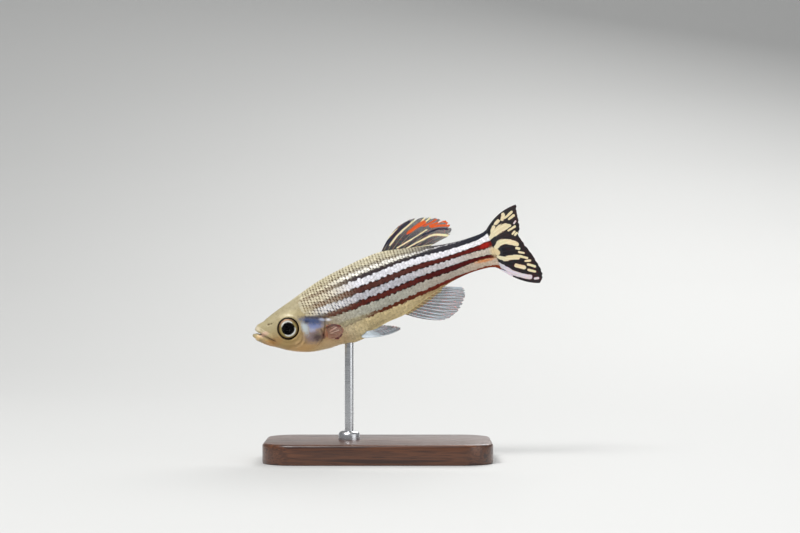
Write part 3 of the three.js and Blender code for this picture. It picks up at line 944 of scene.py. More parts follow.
PATCHES = (
    Patch("snout", "#ab9f7c", 2.4, 0.3, 2.6, 1.3, 0.75),
    Patch("brow", "#c9bd97", 6.1, 0.75, 1.5, 0.6, 0.8),
    Patch("cheek", "#b0945e", 4.3, -3.1, 2.4, 1.1, 0.85),
    Patch("chin", "#b0834a", 1.7, -2.55, 2.3, 0.8, 1.0),
    Patch("jaw glow", "#dcb074", 1.6, -2.25, 1.0, 0.34, 0.5, -0.92),
    Patch("throat", "#d2aa74", 6.4, -5.2, 3.4, 0.9, 0.9),
    Patch("mouth side", "#c9a490", 1.35, -0.75, 0.9, 0.42, 0.8),
    # Painted highlight on the tip of the upper lip.
    Patch("upper lip tip", "#d6cab0", 0.75, 0.45, 0.5, 0.55, 0.7),
    Patch("lower lip tip", "#ecc88e", 0.3, -0.95, 0.7, 0.4, 0.8),
    Patch("breast", "#d2b48c", 11.5, -5.9, 2.6, 1.0, 0.7),
    Patch("under eye", "#c2a272", 6.0, -4.1, 1.1, 0.5, 0.7),
    Patch("gill pink", "#857479", 8.8, -3.8, 1.7, 1.35, 0.9),
    Patch("gill shade", "#4f3d3a", 9.35, -4.15, 0.95, 0.75, 0.9),
    Patch("gill lilac", "#a4a9c6", 9.0, -2.75, 0.8, 0.5, 0.8),
    Patch("gill sky", "#7886b4", 9.5, -2.3, 1.5, 0.6, 0.9, -0.4),
    Patch("cheek silver", "#bcc7cc", 7.95, -2.1, 0.6, 1.25, 0.9),
    Patch("gill navy", "#364a76", 9.5, -1.45, 2.2, 0.8, 0.95, -0.42),
    Patch("gill ink", "#171a33", 9.9, -1.1, 2.0, 0.3, 0.6, -0.42),
    Patch("ear ink", "#1c2138", 8.55, -1.3, 0.5, 0.3, 0.6),
    Patch("shoulder ink", "#171a33", 11.1, -1.15, 1.2, 0.3, 0.75, -0.3),
    # Painted highlights: two pale glints on the shoulder.
    Patch("shoulder blue", "#aab3c8", 11.0, -1.85, 0.55, 0.26, 0.85, -0.35),
    Patch("shoulder glint", "#dcdee4", 11.85, -2.2, 0.5, 0.26, 0.85, -0.35),
    # Painted shade along the crease where the lips meet.
    Patch("lip crease", "#3f261c", 2.3, -1.88, 0.75, 0.13, 0.9, -1.09),
    # Painted shade in the two nostril pits.
    Patch("near nostril", "#6a563a", 2.72, 0.42, 0.17, 0.15, 0.7),
    Patch("far nostril", "#6a563a", 3.16, 0.36, 0.13, 0.12, 0.7),
    # Painted shadow in the gap behind the gill cover's edge.
    Patch("gill slit", "#2c1416", 10.3, -3.95, 0.26, 0.85, 1.0),
    Patch("olive flank", "#b0a787", 14.5, -3.75, 4.6, 0.5, 0.9),
    Patch("fin pit", "#a5624c", 11.4, -4.2, 1.3, 1.1, 0.75),
    Patch("tail red", "#a81e14", 39.1, -0.15, 1.0, 0.5, 0.9),
    Patch("tail glow", "#d98a4c", 38.3, -2.4, 1.7, 0.3, 0.85, -0.15),
    Patch("tail cream", "#dcc69a", 40.1, -1.5, 0.6, 0.9, 0.95),
)

HEAD_RAMP = [
    (0.0, "#cfc5a6"), (0.05, "#aea384"), (0.3, "#aa9e7c"), (0.5, "#ad9d75"), (0.7, "#aa9064"),
    (0.9, "#b59362"), (1.0, "#dcc598"),
]

# Where each later set of stripes starts to show and where it has taken over, in millimetres.
CHANGES = ((11.5, 18.5, MIDDLE_STRIPES), (24.0, 31.0, REAR_STRIPES), (33.0, 37.5, STALK_STRIPES))


def colour_effect() -> Tree:
    """The fish's colours, with some painted highlights and shade among the patches, the same on bare skin and
    on scales.

    Returns:
        The node group.
    """

    def fill(net: Net, given: dict[str, Socket]) -> dict[str, Socket]:
        """Mixes the four stripe ramps along the body, then lays the patches over them.

        Args:
            net: where the nodes go.
            given: the group's inputs.

        Returns:
            The group's outputs.
        """
        place = given["Fish"]
        x, _, z = net.parts(place)
        wander = net.scaled(net.noise(place, 1.1, 3.0, 0.6), 0.03, -0.015)
        lane = net.plus(given["Lane"], wander)
        colour = net.ramp(lane, FRONT_STRIPES.stops(soft=0.012))
        for start, end, stripes in CHANGES:
            colour = net.mix(net.span(x, start, end), colour, net.ramp(lane, stripes.stops()))
        fade = net.plus(x, net.times(net.minus(z, -1.0), 0.55))
        colour = net.mix(net.span(fade, 12.6, 9.2), colour, net.ramp(lane, HEAD_RAMP))
        mottle = net.noise(place, 2.6, 4.0, 0.65)
        colour = net.mix(net.span(mottle, 0.42, 0.7, 0.0, 0.28), colour, "#8d7d58", "MULTIPLY")
        for patch in PATCHES:
            colour = patch.lay(net, place, colour)
        bright = net.node("ShaderNodeRGBToBW", {0: colour}).outputs[0]
        return {"Color": colour, "Pearl": net.span(bright, 0.35, 0.8)}

    inputs = {"Fish": (0.0, 0.0, 0.0), "Lane": 0.5}
    return effect("Danio colours", inputs, {"Color": "Color", "Pearl": "Float"}, fill)


def pigment_effect() -> Tree:
    """A fin's painted streaks, their edges ragged along the rays.

    Returns:
        The node group.
    """

    def fill(net: Net, given: dict[str, Socket]) -> dict[str, Socket]:
        """Lays the three pigments over the fin's own colour.

        Args:
            net: where the nodes go.
            given: the group's inputs.

        Returns:
            The group's outputs.
        """
        lie = {"X": net.times(given["Ray"], 2.6), "Y": net.times(given["Along"], 5.0)}
        streaky = net.noise(net.node("ShaderNodeCombineXYZ", lie).outputs[0], 1.0, 4.0, 0.7)
        wobble = net.scaled(streaky, 1.1, -0.55)
        colour, covered = given["Own"], 0.0
        for strength, pigment in zip(net.parts(given["Paint"]), ("First", "Second", "Third")):
            mask = net.span(net.plus(strength, wobble), 0.36, 0.6)
            colour = net.mix(mask, colour, given[pigment])
            covered = net.math("MAXIMUM", covered, mask)
        return {"Color": colour, "Painted": covered}

    inputs = {"Paint": (0.0, 0.0, 0.0), "Along": 0.0, "Ray": 0.0}
    inputs |= dict.fromkeys(("Own", "First", "Second", "Third"), "#ffffff")
    return effect("Fin pigments", inputs, {"Color": "Color", "Painted": "Float"}, fill)


class Finish:
    """A surface finish. Each kind says how its material is made, once."""

    label: str

    def material(self) -> Material:
        """The finish's material, made the first time it is asked for.

        Returns:
            The material.
        """
        found = bpy.data.materials.get(self.label)
        if found:
            return found
        made = bpy.data.materials.new(self.label)
        made.use_nodes = True
        made.node_tree.nodes.clear()
        net = Net(made.node_tree)
        net.shader = net.node("ShaderNodeBsdfPrincipled")
        net.node("ShaderNodeOutputMaterial", {"Surface": net.shader.outputs[0]})
        self.dress(net)
        return made

    def dress(self, net: Net) -> None:
        """Feeds the shader; each finish has its own way."""
        raise NotImplementedError


@dataclass(frozen=True)
class SkinFinish(Finish):
    """Wet bare skin: mottled colours, dark specks on the head, painted shade inside the mouth, fine grain and
    pores.
    """

    label: str = "wet skin"
    speck: str = "#4c4026"
    # Colour of the painted shade inside the mouth.
    mouth: str = "#4a2724"
    tail_start: float = 39.9
    tail_full: float = 40.4

    def dress(self, net: Net) -> None:
        """Feeds the shader.

        Args:
            net: the material's nodes and shader.
        """
        place = net.attribute("fish", "Vector")
        colours = net.use(colour_effect(), Fish=place, Lane=net.attribute("lane"))
        x, _, z = net.parts(place)
        specks = net.times(net.span(net.cells(place, 3.4), 0.24, 0.1), net.span(x, 10.5, 8.5))
        specks = net.times(specks, net.span(z, -0.6, 0.6))
        base = net.mix(net.times(specks, 0.55), colours.outputs["Color"], self.speck)
        wander = net.scaled(net.noise(place, 2.2, 3.0, 0.6), 0.8, -0.4)
        pigments = TAIL_MEMBRANE.pigments(net, net.times(x, 0.15), z, TAIL_MEMBRANE.clear)
        tail = net.span(net.plus(x, wander), self.tail_start, self.tail_full)
        base = net.mix(tail, base, pigments.outputs["Color"])
        # Painted shade inside the mouth.
        base = net.mix(net.attribute("mouth"), base, self.mouth)
        fine = net.noise(place, 9.0, 4.0, 0.7)
        pores = net.span(net.cells(place, 5.0), 0.0, 0.3)
        height = net.plus(net.times(fine, 0.6), net.times(pores, 0.4))
        net.coat({
            "Base Color": base, "Normal": net.bump(height, 0.00002, 0.5),
            "Roughness": net.span(fine, 0.3, 0.7, 0.34, 0.5),
            "Metallic": net.times(colours.outputs["Pearl"], 0.12),
            "Coat Weight": 0.22, "Coat Roughness": 0.16, "IOR": 1.38, "Specular IOR Level": 0.35,
        })


@dataclass(frozen=True)
class ScaleFinish(Finish):
    """Thin scales: the same markings, with a dark fleck at each rear edge and fine growth rings."""

    label: str = "scales"
    warm_fleck: str = "#47331d"
    blue_fleck: str = "#141830"
    glint: str = "#f0e9d2"

    def dress(self, net: Net) -> None:
        """Feeds the shader.

        Args:
            net: the material's nodes and shader.
        """
        place, lane = net.attribute("fish", "Vector"), net.attribute("lane")
        colours = net.use(colour_effect(), Fish=place, Lane=lane)
        x, _, z = net.parts(place)
        tip, across, tone = (net.attribute(name) for name in ("tip", "across", "tone"))
        slant = net.plus(net.minus(tip, net.times(across, 0.2)), net.scaled(tone, 0.14, -0.07))
        some = net.span(net.math("FRACT", net.times(tone, 5.3)), 0.1, 0.6, 0.35, 1.0)
        fleck = net.times(net.span(slant, 0.72, 0.84), some)
        back = net.times(net.span(lane, 0.15, 0.11), net.span(x, 33.0, 28.0))
        shoulder = net.times(net.span(x, 18.5, 13.0), net.span(lane, 0.62, 0.54))
        speckled = net.math("MAXIMUM", back, shoulder)
        uneven = net.span(net.noise(place, 1.7, 3.0, 0.6), 0.3, 0.62, 0.6, 1.0)
        strength = net.times(net.scaled(speckled, 0.74, 0.18), uneven)
        ink = net.mix(net.span(z, 0.2, -0.7), self.warm_fleck, self.blue_fleck)
        base = net.mix(net.times(fleck, strength), colours.outputs["Color"], ink)
        lift = net.times(net.times(speckled, net.span(fleck, 0.35, 0.0)), 0.28)
        base = net.mix(lift, base, self.glint)
        shade = {"Value": net.scaled(tone, 0.26, 0.86), "Color": base}
        rings = net.math("SINE", net.times(tip, 42.0))
        fine = net.noise(place, 8.0, 3.0, 0.6)
        height = net.plus(net.times(rings, 0.2), net.times(fine, 0.6))
        net.coat({
            "Base Color": net.node("ShaderNodeHueSaturation", shade).outputs[0],
            "Normal": net.bump(height, 0.00001, 0.5), "Roughness": net.span(fine, 0.3, 0.7, 0.42, 0.62),
            "Metallic": net.times(colours.outputs["Pearl"], 0.08),
            "Coat Weight": 0.05, "Coat Roughness": 0.3, "IOR": 1.33, "Specular IOR Level": 0.2,
        })


@dataclass(frozen=True)
class EyeFinish(Finish):
    """The eye: black pupil, two pale crescents of painted highlight at its edge, an olive-gold iris and a
    dark outer ring.
    """

    label: str = "iris"
    rings: tuple[tuple[float, str], ...] = (
        (0.0, "#020102"), (0.58, "#030203"), (0.61, "#5c4c30"), (0.66, "#9c8f60"), (0.76, "#8f8150"),
        (0.82, "#6a5733"), (1.0, "#4a3420"),
    )
    blush: str = "#b08a72"
    # The painted highlights' colour, and after it the two turns from the eye's middle at which they lie.
    white: str = "#d9d8d2"
    outer_ring: str = "#160c08"
    upper_highlight_turn: float = 1.55
    lower_highlight_turn: float = -1.3

    def dress(self, net: Net) -> None:
        """Feeds the shader by the distance and the direction from the eye's middle.

        Args:
            net: the material's nodes and shader.
        """
        place = net.attribute("fish", "Vector")
        x, _, z = net.parts(place)
        dx, dz = (
            net.math("DIVIDE", net.minus(value, middle), EYE_RADIUS)
            for value, middle in ((x, EYE_X), (z, EYE_Z))
        )
        away = net.math("SQRT", net.plus(net.times(dx, dx), net.times(dz, dz)))
        turn = net.math("ARCTAN2", dz, dx)
        spokes = net.noise(net.stretch(place, (1.0, 0.2, 1.0)), 5.0, 5.0, 0.7)
        ragged = net.plus(away, net.scaled(spokes, 0.09, -0.045))
        pink = net.times(net.span(dz, 0.3, 0.8), net.span(away, 0.62, 0.8))
        colour = net.mix(net.times(pink, 0.6), net.ramp(ragged, list(self.rings)), self.blush)
        # Painted highlights: a pale crescent at the pupil's edge towards each of the two turns.
        upper, lower = (
            net.math("COSINE", net.minus(turn, middle)) for middle in (self.upper_highlight_turn, self.lower_highlight_turn)
        )
        glow = net.math("MAXIMUM", net.span(upper, 0.35, 0.98), net.span(lower, 0.2, 0.96))
        reach = net.scaled(glow, 0.11, 0.6)
        outer = net.span(ragged, net.plus(reach, 0.09), net.minus(reach, 0.02))
        band = net.times(net.span(ragged, 0.565, 0.61), outer)
        white = net.times(net.span(glow, 0.0, 0.45), band)
        colour = net.mix(net.times(white, 0.92), colour, self.white)
        net.coat({
            "Base Color": net.mix(net.span(ragged, 0.86, 0.92), colour, self.outer_ring),
            "Metallic": net.times(net.span(away, 0.56, 0.64), 0.25),
            "Normal": net.bump(spokes, 0.00002, 0.6),
            "Roughness": 0.35, "Coat Weight": 0.02, "IOR": 1.33, "Specular IOR Level": 0.12,
        })


@dataclass(frozen=True)
class CorneaFinish(Finish):
    """Clear wet cornea."""

    label: str = "cornea"

    def dress(self, net: Net) -> None:
        """Feeds the shader: plain clear glass.

        Args:
            net: the material's nodes and shader.
        """
        net.coat({
            "Base Color": "#ffffff", "Transmission Weight": 1.0, "Roughness": 0.02, "IOR": 1.16,
            "Specular IOR Level": 0.3,
        })


@dataclass(frozen=True)
class FinFinish(Finish):
    """A thin see-through membrane, or a fin's jointed rays, painted with up to three pigments."""

    label: str
    clear: str
    first: str
    second: str = "#ffffff"
    third: str = "#ffffff"
    alpha: float = 0.5
    alpha_painted: float = 0.92
    edge_alpha: float = 0.8
    jointed: bool = False
    joint: str = "#3a2a20"

    def pigments(self, net: Net, along: Socket, ray: Socket, own: Value) -> Node:
        """The pigments' effect, placed in a material.

        Args:
            net: where the nodes go.
            along: how far out along the fin.
            ray: which ray.
            own: the fin's own colour.

        Returns:
            The node, whose outputs are Color and Painted.
        """
        paint = net.attribute("paint", "Vector")
        return net.use(
            pigment_effect(), Paint=paint, Along=along, Ray=ray, Own=own, First=self.first,
            Second=self.second, Third=self.third,
        )

    def dress(self, net: Net) -> None:
        """Feeds the shader: pigments, with joints on the rays and a thinner edge on the membrane.

        Args:
            net: the material's nodes and shader.
        """
        place, along = net.attribute("fish", "Vector"), net.attribute("along")
        tone = net.noise(place, 1.8, 4.0, 0.6)
        own = net.mix(net.span(tone, 0.35, 0.7, 0.0, 0.35), self.clear, "#ffffff", "SOFT_LIGHT")
        colour, covered = self.pigments(net, along, net.attribute("ray"), own).outputs[:]
        if self.jointed:
            joints = net.math("SINE", net.times(along, 260.0))
            colour = net.mix(net.span(joints, 0.55, 1.0, 0.0, 0.13), colour, self.joint)
        else:
            sheet = net.scaled(net.span(along, 1.0, 0.1), self.edge_alpha - self.alpha, self.alpha)
            more = net.times(covered, self.alpha_painted - self.alpha)
            net.coat({
                "Alpha": net.math("ADD", sheet, more, clamp=True), "Subsurface Weight": 0.3,
                "Subsurface Scale": 0.0004,
            })
        net.coat({
            "Base Color": colour, "Normal": net.bump(net.noise(place, 12.0, 3.0), 0.00001, 0.4),
            "Roughness": 0.38, "Coat Weight": 0.3, "Coat Roughness": 0.2, "IOR": 1.4,
        })


TAIL_MEMBRANE = FinFinish("tail membrane", "#0b0a10", "#ddd3ae", "#cdc9cf", "#d8c498", 0.94, 0.97, 0.96)


@dataclass(frozen=True)
class WoodFinish(Finish):
    """Dark varnished hardwood, its grain along the base."""

    label: str = "dark wood"
    dark: str = "#33190e"
    light: str = "#643a21"

    def dress(self, net: Net) -> None:
        """Feeds the shader: stretched grain with fine pores.

        Args:
            net: the material's nodes and shader.
        """
        place = net.node("ShaderNodeTexCoord").outputs["Object"]
        grain = net.noise(net.stretch(place, (40.0, 900.0, 900.0)), 1.0, 4.0, 0.55)
        pores = net.noise(net.stretch(place, (260.0, 4200.0, 4200.0)), 1.0, 2.0)
        rings = net.math("SINE", net.times(grain, 30.0))
        tone = net.math("MULTIPLY_ADD", rings, 0.14, grain)
        colour = net.mix(net.span(tone, 0.2, 0.8), self.dark, self.light)
        net.coat({
            "Base Color": net.mix(net.span(pores, 0.56, 0.66, 0.0, 0.6), colour, self.dark),
            "Normal": net.bump(pores, 0.00002, 0.4), "Roughness": net.span(pores, 0.4, 0.7, 0.34, 0.5),
            "Coat Weight": 0.35, "Coat Roughness": 0.2,
        })


@dataclass(frozen=True)
class SteelFinish(Finish):
    """Turned stainless steel."""

    label: str = "turned steel"

    def dress(self, net: Net) -> None:
        """Feeds the shader: fine turning marks round the bar.

        Args:
            net: the material's nodes and shader.
        """
        place = net.node("ShaderNodeTexCoord").outputs["Object"]
        marks = net.noise(net.stretch(place, (60.0, 60.0, 9000.0)), 1.0, 3.0)
        net.coat({
            "Base Color": "#c6c8cb", "Metallic": 1.0, "Roughness": net.span(marks, 0.3, 0.7, 0.22, 0.38),
            "Normal": net.bump(marks, 0.000004, 0.3),
        })


@dataclass(frozen=True)
class FloorFinish(Finish):
    """Matt pale studio paper."""

    label: str = "studio paper"

    def dress(self, net: Net) -> None:
        """Feeds the shader: one pale tone with a faint tooth.

        Args:
            net: the material's nodes and shader.
        """
        tooth = net.noise(net.node("ShaderNodeTexCoord").outputs["Object"], 900.0, 2.0)
        normal = net.bump(tooth, 0.00002, 0.2)
        net.coat({"Base Color": "#c9c9c7", "Normal": normal, "Roughness": 0.7})


@dataclass(frozen=True)
class Streak:
    """One painted streak of a fin: its pigment, its path of (x, z, half width) and its strength."""

    pigment: int
    path: tuple[tuple[float, float, float], ...]
    strength: float = 1.0

    def mask(self, flat: Array) -> Array:
        """How strongly the streak covers points of the side view.

        Args:
            flat: the points, two numbers each.

        Returns:
            The strengths, from 0 to 1.
        """
        corners = np.array(self.path)
        t = np.linspace(0.0, 1.0, 8 * len(corners))
        route = catmull(corners, t) if len(corners) > 2 else corners
        gap, along = distance_to_path(flat, route[:, :2])
        half = np.interp(along, np.linspace(0, 1, len(route)), route[:, 2])
        return self.strength * blend(2.0, 0.2, gap / half)


def painted(points: Array, streaks: tuple[Streak, ...]) -> Array:
    """The strength of the three pigments at each point.

    Args:
        points: places in the fish's frame.
        streaks: the fin's streaks.

    Returns:
        A row of three strengths for each point.
    """
    result = np.zeros((len(points), 3))
    for streak in streaks:
        result[:, streak.pigment] = np.maximum(result[:, streak.pigment], streak.mask(points[:, [0, 2]]))
    return result


TAIL_STREAKS = (
    Streak(0, ((41.04, 1.58, 0.25), (41.49, 2.08, 0.25))),
    Streak(0, ((41.99, 2.49, 0.22), (42.5, 2.72, 0.25))),
    Streak(0, ((43.18, 2.71, 0.22), (43.64, 3.38, 0.25))),
    Streak(0, ((43.38, 2.8, 0.15), (43.91, 2.85, 0.17), (45.01, 3.28, 0.17))),
    Streak(0, ((44.24, 2.39, 0.16), (45.11, 2.65, 0.19))),
    Streak(0, ((40.14, 0.56, 0.2), (41.78, 1.29, 0.5), (43.05, 1.49, 0.48), (44.02, 1.37, 0.18))),
    Streak(0, ((43.51, 0.71, 0.14), (44.7, 0.93, 0.16))),
    Streak(0, ((43.91, -0.03, 0.12), (44.35, 0.22, 0.14))),
    Streak(0, ((44.22, -0.32, 0.14), (44.63, -0.14, 0.16))),
    Streak(1, ((44.73, 1.44, 0.12), (45.09, 1.72, 0.12))),
    Streak(0, (
        (40.7, -1.1, 0.28), (41.56, -0.63, 0.4), (42.52, -0.78, 0.35), (43.48, -1.37, 0.35),
        (44.01, -1.77, 0.28),
    )),
    Streak(0, ((43.7, -2.33, 0.18), (44.05, -2.55, 0.19))),
    Streak(0, ((43.85, -3.07, 0.14), (44.53, -3.5, 0.14))),
    Streak(0, ((40.33, -2.48, 0.16), (41.39, -3.28, 0.32), (42.51, -3.46, 0.32), (43.36, -3.9, 0.24))),
    Streak(0, ((42.91, -3.3, 0.14), (43.89, -3.85, 0.16), (44.69, -4.41, 0.16))),
    Streak(0, ((44.3, -4.77, 0.15), (44.99, -4.95, 0.16))),
    Streak(0, ((42.64, -4.9, 0.25), (43.71, -5.65, 0.28))),
    Streak(0, ((44.47, -5.43, 0.16), (44.89, -5.68, 0.17), (45.39, -6.13, 0.17))),
    Streak(0, ((44.23, -6.27, 0.16), (45.11, -6.87, 0.17))),
    Streak(1, (
        (38.1, -2.56, 0.35), (39.67, -3.33, 0.3), (40.86, -4.64, 0.28), (42.03, -6.03, 0.3),
        (44.05, -7.4, 0.32),
    )),
    Streak(1, ((44.71, -7.9, 0.16), (45.18, -8.0, 0.16))),
    Streak(1, ((39.65, -4.26, 0.14), (40.64, -5.23, 0.14), (41.45, -6.23, 0.14))),
    Streak(2, ((39.5, -1.2, 0.35), (40.15, -1.6, 0.5), (40.55, -1.9, 0.42))),
)

DORSAL_STREAKS = (
    Streak(0, ((23.32, 4.98, 0.09), (24.98, 6.21, 0.09), (27.09, 7.27, 0.09))),
    Streak(2, ((24.2, 5.49, 0.21), (25.69, 6.28, 0.21), (27.94, 7.28, 0.21), (29.26, 7.63, 0.21))),
    Streak(0, ((25.14, 5.3, 0.14), (26.9, 6.33, 0.14), (29.3, 7.27, 0.14), (30.47, 7.67, 0.14)), 0.8),
    Streak(1, ((28.3, 5.95, 0.08), (28.49, 6.05, 0.17), (30.57, 6.61, 0.28), (31.46, 6.7, 0.32))),
    Streak(0, ((31.04, 6.94, 0.1), (31.89, 7.38, 0.1))),
    Streak(0, ((31.43, 6.63, 0.11), (32.7, 7.07, 0.12))),
    Streak(1, ((31.26, 6.18, 0.12), (32.32, 6.28, 0.12), (33.4, 6.46, 0.12))),
    Streak(1, ((32.15, 5.84, 0.15), (33.35, 5.89, 0.15), (34.35, 5.84, 0.15), (34.98, 5.26, 0.15))),
    Streak(1, ((32.24, 5.64, 0.15), (33.65, 5.35, 0.15), (34.99, 4.83, 0.15))),
    Streak(0, ((26.01, 4.46, 0.11), (28.74, 4.94, 0.11), (31.5, 5.49, 0.11)), 0.75),
    Streak(0, ((27.31, 3.87, 0.1), (29.99, 4.2, 0.14), (32.08, 4.34, 0.17), (34.27, 3.41, 0.21)), 0.75),
    Streak(2, ((30.5, 4.9, 0.17), (33.0, 4.95, 0.17), (34.6, 4.4, 0.17)), 0.7),
    Streak(0, ((28.23, 3.61, 0.08), (31.07, 3.03, 0.08), (32.6, 2.61, 0.08)), 0.7),
)

PECTORAL_STREAKS = (
    Streak(0, ((11.2, -3.3, 0.12), (12.3, -3.2, 0.14), (13.4, -3.75, 0.16))),
    Streak(0, ((12.0, -5.4, 0.14), (12.7, -5.35, 0.18), (13.2, -5.1, 0.12)), 0.8),
    Streak(1, ((11.5, -4.0, 0.08), (12.7, -3.75, 0.1))),
    Streak(1, ((11.5, -4.35, 0.08), (12.9, -4.3, 0.1)), 0.8),
)

ANAL_STREAKS = (
    Streak(0, ((23.2, -5.8, 0.4), (26.5, -5.1, 0.45), (30.0, -4.2, 0.3)), 0.8),
)


@dataclass(frozen=True)
class Relief:
    """Heights and depths of the head's small forms, in millimetres."""

    cover: float = 0.09
    slit: float = 0.14
    slit_shoulder: float = 0.05
    cheek_groove: float = 0.09
    cheek_rim: float = 0.05
    eye_rim: float = 0.055
    eye_hollow: float = 0.03
    nostril: float = 0.26
    nostril_rim: float = 0.012
    throat: float = 0.14
    snout_bulge: float = 0.12
    snout_dip: float = 0.1


@dataclass
class Skin:
    """The whole fish's skin: one closed surface from the lips to the fleshy base of the tail fin.

    The head's lines are corners in the side view. The socket is its middle, its radius and how far out
    its floor lies. A nostril is its middle and its size. A step of the tail's end is how far it reaches
    and the shares of the width and the height that are left there.
    """

    body: Body
    markings: Markings
    relief: Relief = Relief()
    voxel: float = 0.085
    sides: int = 112
    ring_step: float = 0.22
    lip_radius: float = 0.33
    lip_sink: float = 0.03
    tongue_radius: float = 0.32
    tongue_start: float = 0.36
    cutter_depth: float = 4.0
    scaled_from: float = 13.0
    kept_faces: float = 0.55
    tail_middle: float = -1.3
    tail_half: float = 3.4
    tail_round: float = 0.35
    cleft: tuple = ((-0.9, 0.2), (0.55, -0.1), (1.05, -0.62), (1.7, -1.2), (2.3, -1.8), (2.85, -2.45))
    cleft_widths: tuple = (0.5, 0.36, 0.22, 0.17, 0.16, 0.16)
    upper_lip: tuple = ((0.66, 0.36), (0.98, 0.02), (1.42, -0.44), (2.0, -1.04), (2.6, -1.74), (3.05, -2.3))
    lower_lip: tuple = (
        (-0.06, -0.42), (0.3, -0.66), (0.8, -1.06), (1.36, -1.62), (1.98, -2.22), (2.5, -2.76),
    )
    nostrils: tuple = ((2.72, 0.42, 0.24), (3.16, 0.36, 0.17))
    gill_slit: tuple = (
        (8.2, -0.55), (8.6, -0.6), (9.8, -0.68), (10.85, -1.06), (11.3, -1.85), (10.98, -2.85),
        (10.45, -3.85), (9.8, -4.75), (8.7, -5.45), (7.2, -5.62), (5.4, -5.1),
    )
    cover_front: tuple = ((5.4, -2.0), (6.6, 0.2))
    cheek_groove: tuple = ((7.55, 0.5), (7.7, -0.9), (7.45, -2.5), (6.9, -3.85), (5.8, -4.35), (4.3, -3.95))
    socket: tuple = (EYE_X, EYE_Z, 1.74, 0.95)
    tail_end: tuple = (
        (0.25, 0.84, 1.0), (0.5, 0.66, 0.99), (0.75, 0.47, 0.98), (0.98, 0.28, 0.97), (1.14, 0.12, 0.95),
    )

    def loft(self) -> Piece:
        """The bare body, carried on into the fleshy base of the tail fin.

        Returns:
            The closed body.
        """
        body, middle = self.body, self.tail_middle
        nose = body.front + np.array([0.0, 0.04, 0.1, 0.18, 0.28, 0.4, 0.55])
        places = np.concatenate([nose, np.arange(body.front + 0.72, body.rear, self.ring_step), [body.rear]])
        turns = np.linspace(0.0, TAU, self.sides, endpoint=False)
        rings = [np.column_stack([np.full(self.sides, x), body.ring(x, turns)]) for x in places]
        rear = rings[-1]
        for reach, width, height in self.tail_end:
            last = rear.copy()
            last[:, 0] += reach * (1.0 - self.tail_round * ((last[:, 2] - middle) / self.tail_half) ** 2)
            last[:, 1] *= width
            last[:, 2] = middle + (last[:, 2] - middle) * height
            rings.append(last)
        ends = [[body.front - 0.03, 0.0, -0.5], [body.rear + 1.2, 0.0, middle]]
        return closed_piece("skin", np.vstack([*rings, ends]), tube_faces(len(rings), self.sides))

    def half_cleft(self, along: Array) -> Array:
        """Half the mouth's opening at places along it, from 0 at its tip to 1 at its corner."""
        return np.interp(along, np.linspace(0, 1, len(self.cleft_widths)), self.cleft_widths) / 2

    def cleft_block(self) -> Piece:
        """The mouth's opening, as a thin curved wedge right across the snout.

        Returns:
            The closed wedge.
        """
        t = np.linspace(0.0, 1.0, 40)
        path = catmull(np.array(self.cleft), t)
        ahead = np.gradient(path, axis=0)
        ahead /= np.linalg.norm(ahead, axis=1)[:, None]
        side = np.column_stack([-ahead[:, 1], ahead[:, 0]]) * self.half_cleft(t)[:, None]
        outline = np.vstack([path + side, (path - side)[::-1]])
        n = len(outline)
        points = [(x, y, z) for y in (-self.cutter_depth, self.cutter_depth) for x, z in outline]
        faces = [tuple(range(n)), tuple(range(2 * n - 1, n - 1, -1))]
        faces += [(k, k + n, (k + 1) % n + n, (k + 1) % n) for k in range(n)]
        return closed_piece("mouth opening", points, faces)

    def lip(self, name: str, points: tuple) -> Piece:
        """A bead from one corner of the mouth, round its tip, to the other.

        Args:
            name: the bead's name.
            points: its line in the side view, from the tip back.

        Returns:
            The bead.
        """
        rear = np.array(points[1:])
        sink = np.full(len(rear), self.lip_sink)
        sink[-1] = self.lip_radius
        out = self.body.half_width_at(rear[:, 0], rear[:, 1]) - sink
        flank = np.column_stack([rear[:, 0], out, rear[:, 1]])
        tip = np.array([[points[0][0], 0.0, points[0][1]]])
        route = catmull(np.vstack([(flank * [1, -1, 1])[::-1], tip, flank]), np.linspace(0, 1, 90))
        away = np.minimum(np.linspace(0, 1, 90), np.linspace(1, 0, 90))
        return tube(name, route, self.lip_radius * (0.55 + 0.45 * blend(0.0, 0.16, away)))

    def build(self) -> Piece:
        """Cuts the mouth and the sockets, adds the lips and melts all of it into one surface.

        Returns:
            The skin, in the fish's frame.
        """
        piece = self.loft()
        x, z, radius, floor = self.socket
        cutters = [self.cleft_block()]
        for side in Side:
            bpy.ops.mesh.primitive_cylinder_add(
                vertices=64, radius=radius, depth=self.cutter_depth, rotation=(math.pi / 2, 0.0, 0.0),
                location=(x, side.value * (floor + self.cutter_depth / 2), z),
            )
            cutters.append(bpy.context.object)
        for cutter in cutters:
            modify(piece, "BOOLEAN", operation="DIFFERENCE", solver="EXACT", object=cutter)
            bpy.data.objects.remove(cutter)
        throat = curve(self.cleft, 24, self.tongue_start)
        route = np.column_stack([throat[:, 0], np.zeros(len(throat)), throat[:, 1]])
        tongue = tube("tongue", route, np.full(len(throat), self.tongue_radius))
        beads = [tongue, self.lip("upper lip", self.upper_lip), self.lip("lower lip", self.lower_lip)]
        select_only(piece, *beads)
        bpy.ops.object.join()
        modify(piece, "REMESH", mode="VOXEL", voxel_size=self.voxel, adaptivity=0.0)
        modify(piece, "SMOOTH", factor=0.5, iterations=3)
        self.shape(piece)
        self.thin_out(piece)
        return piece

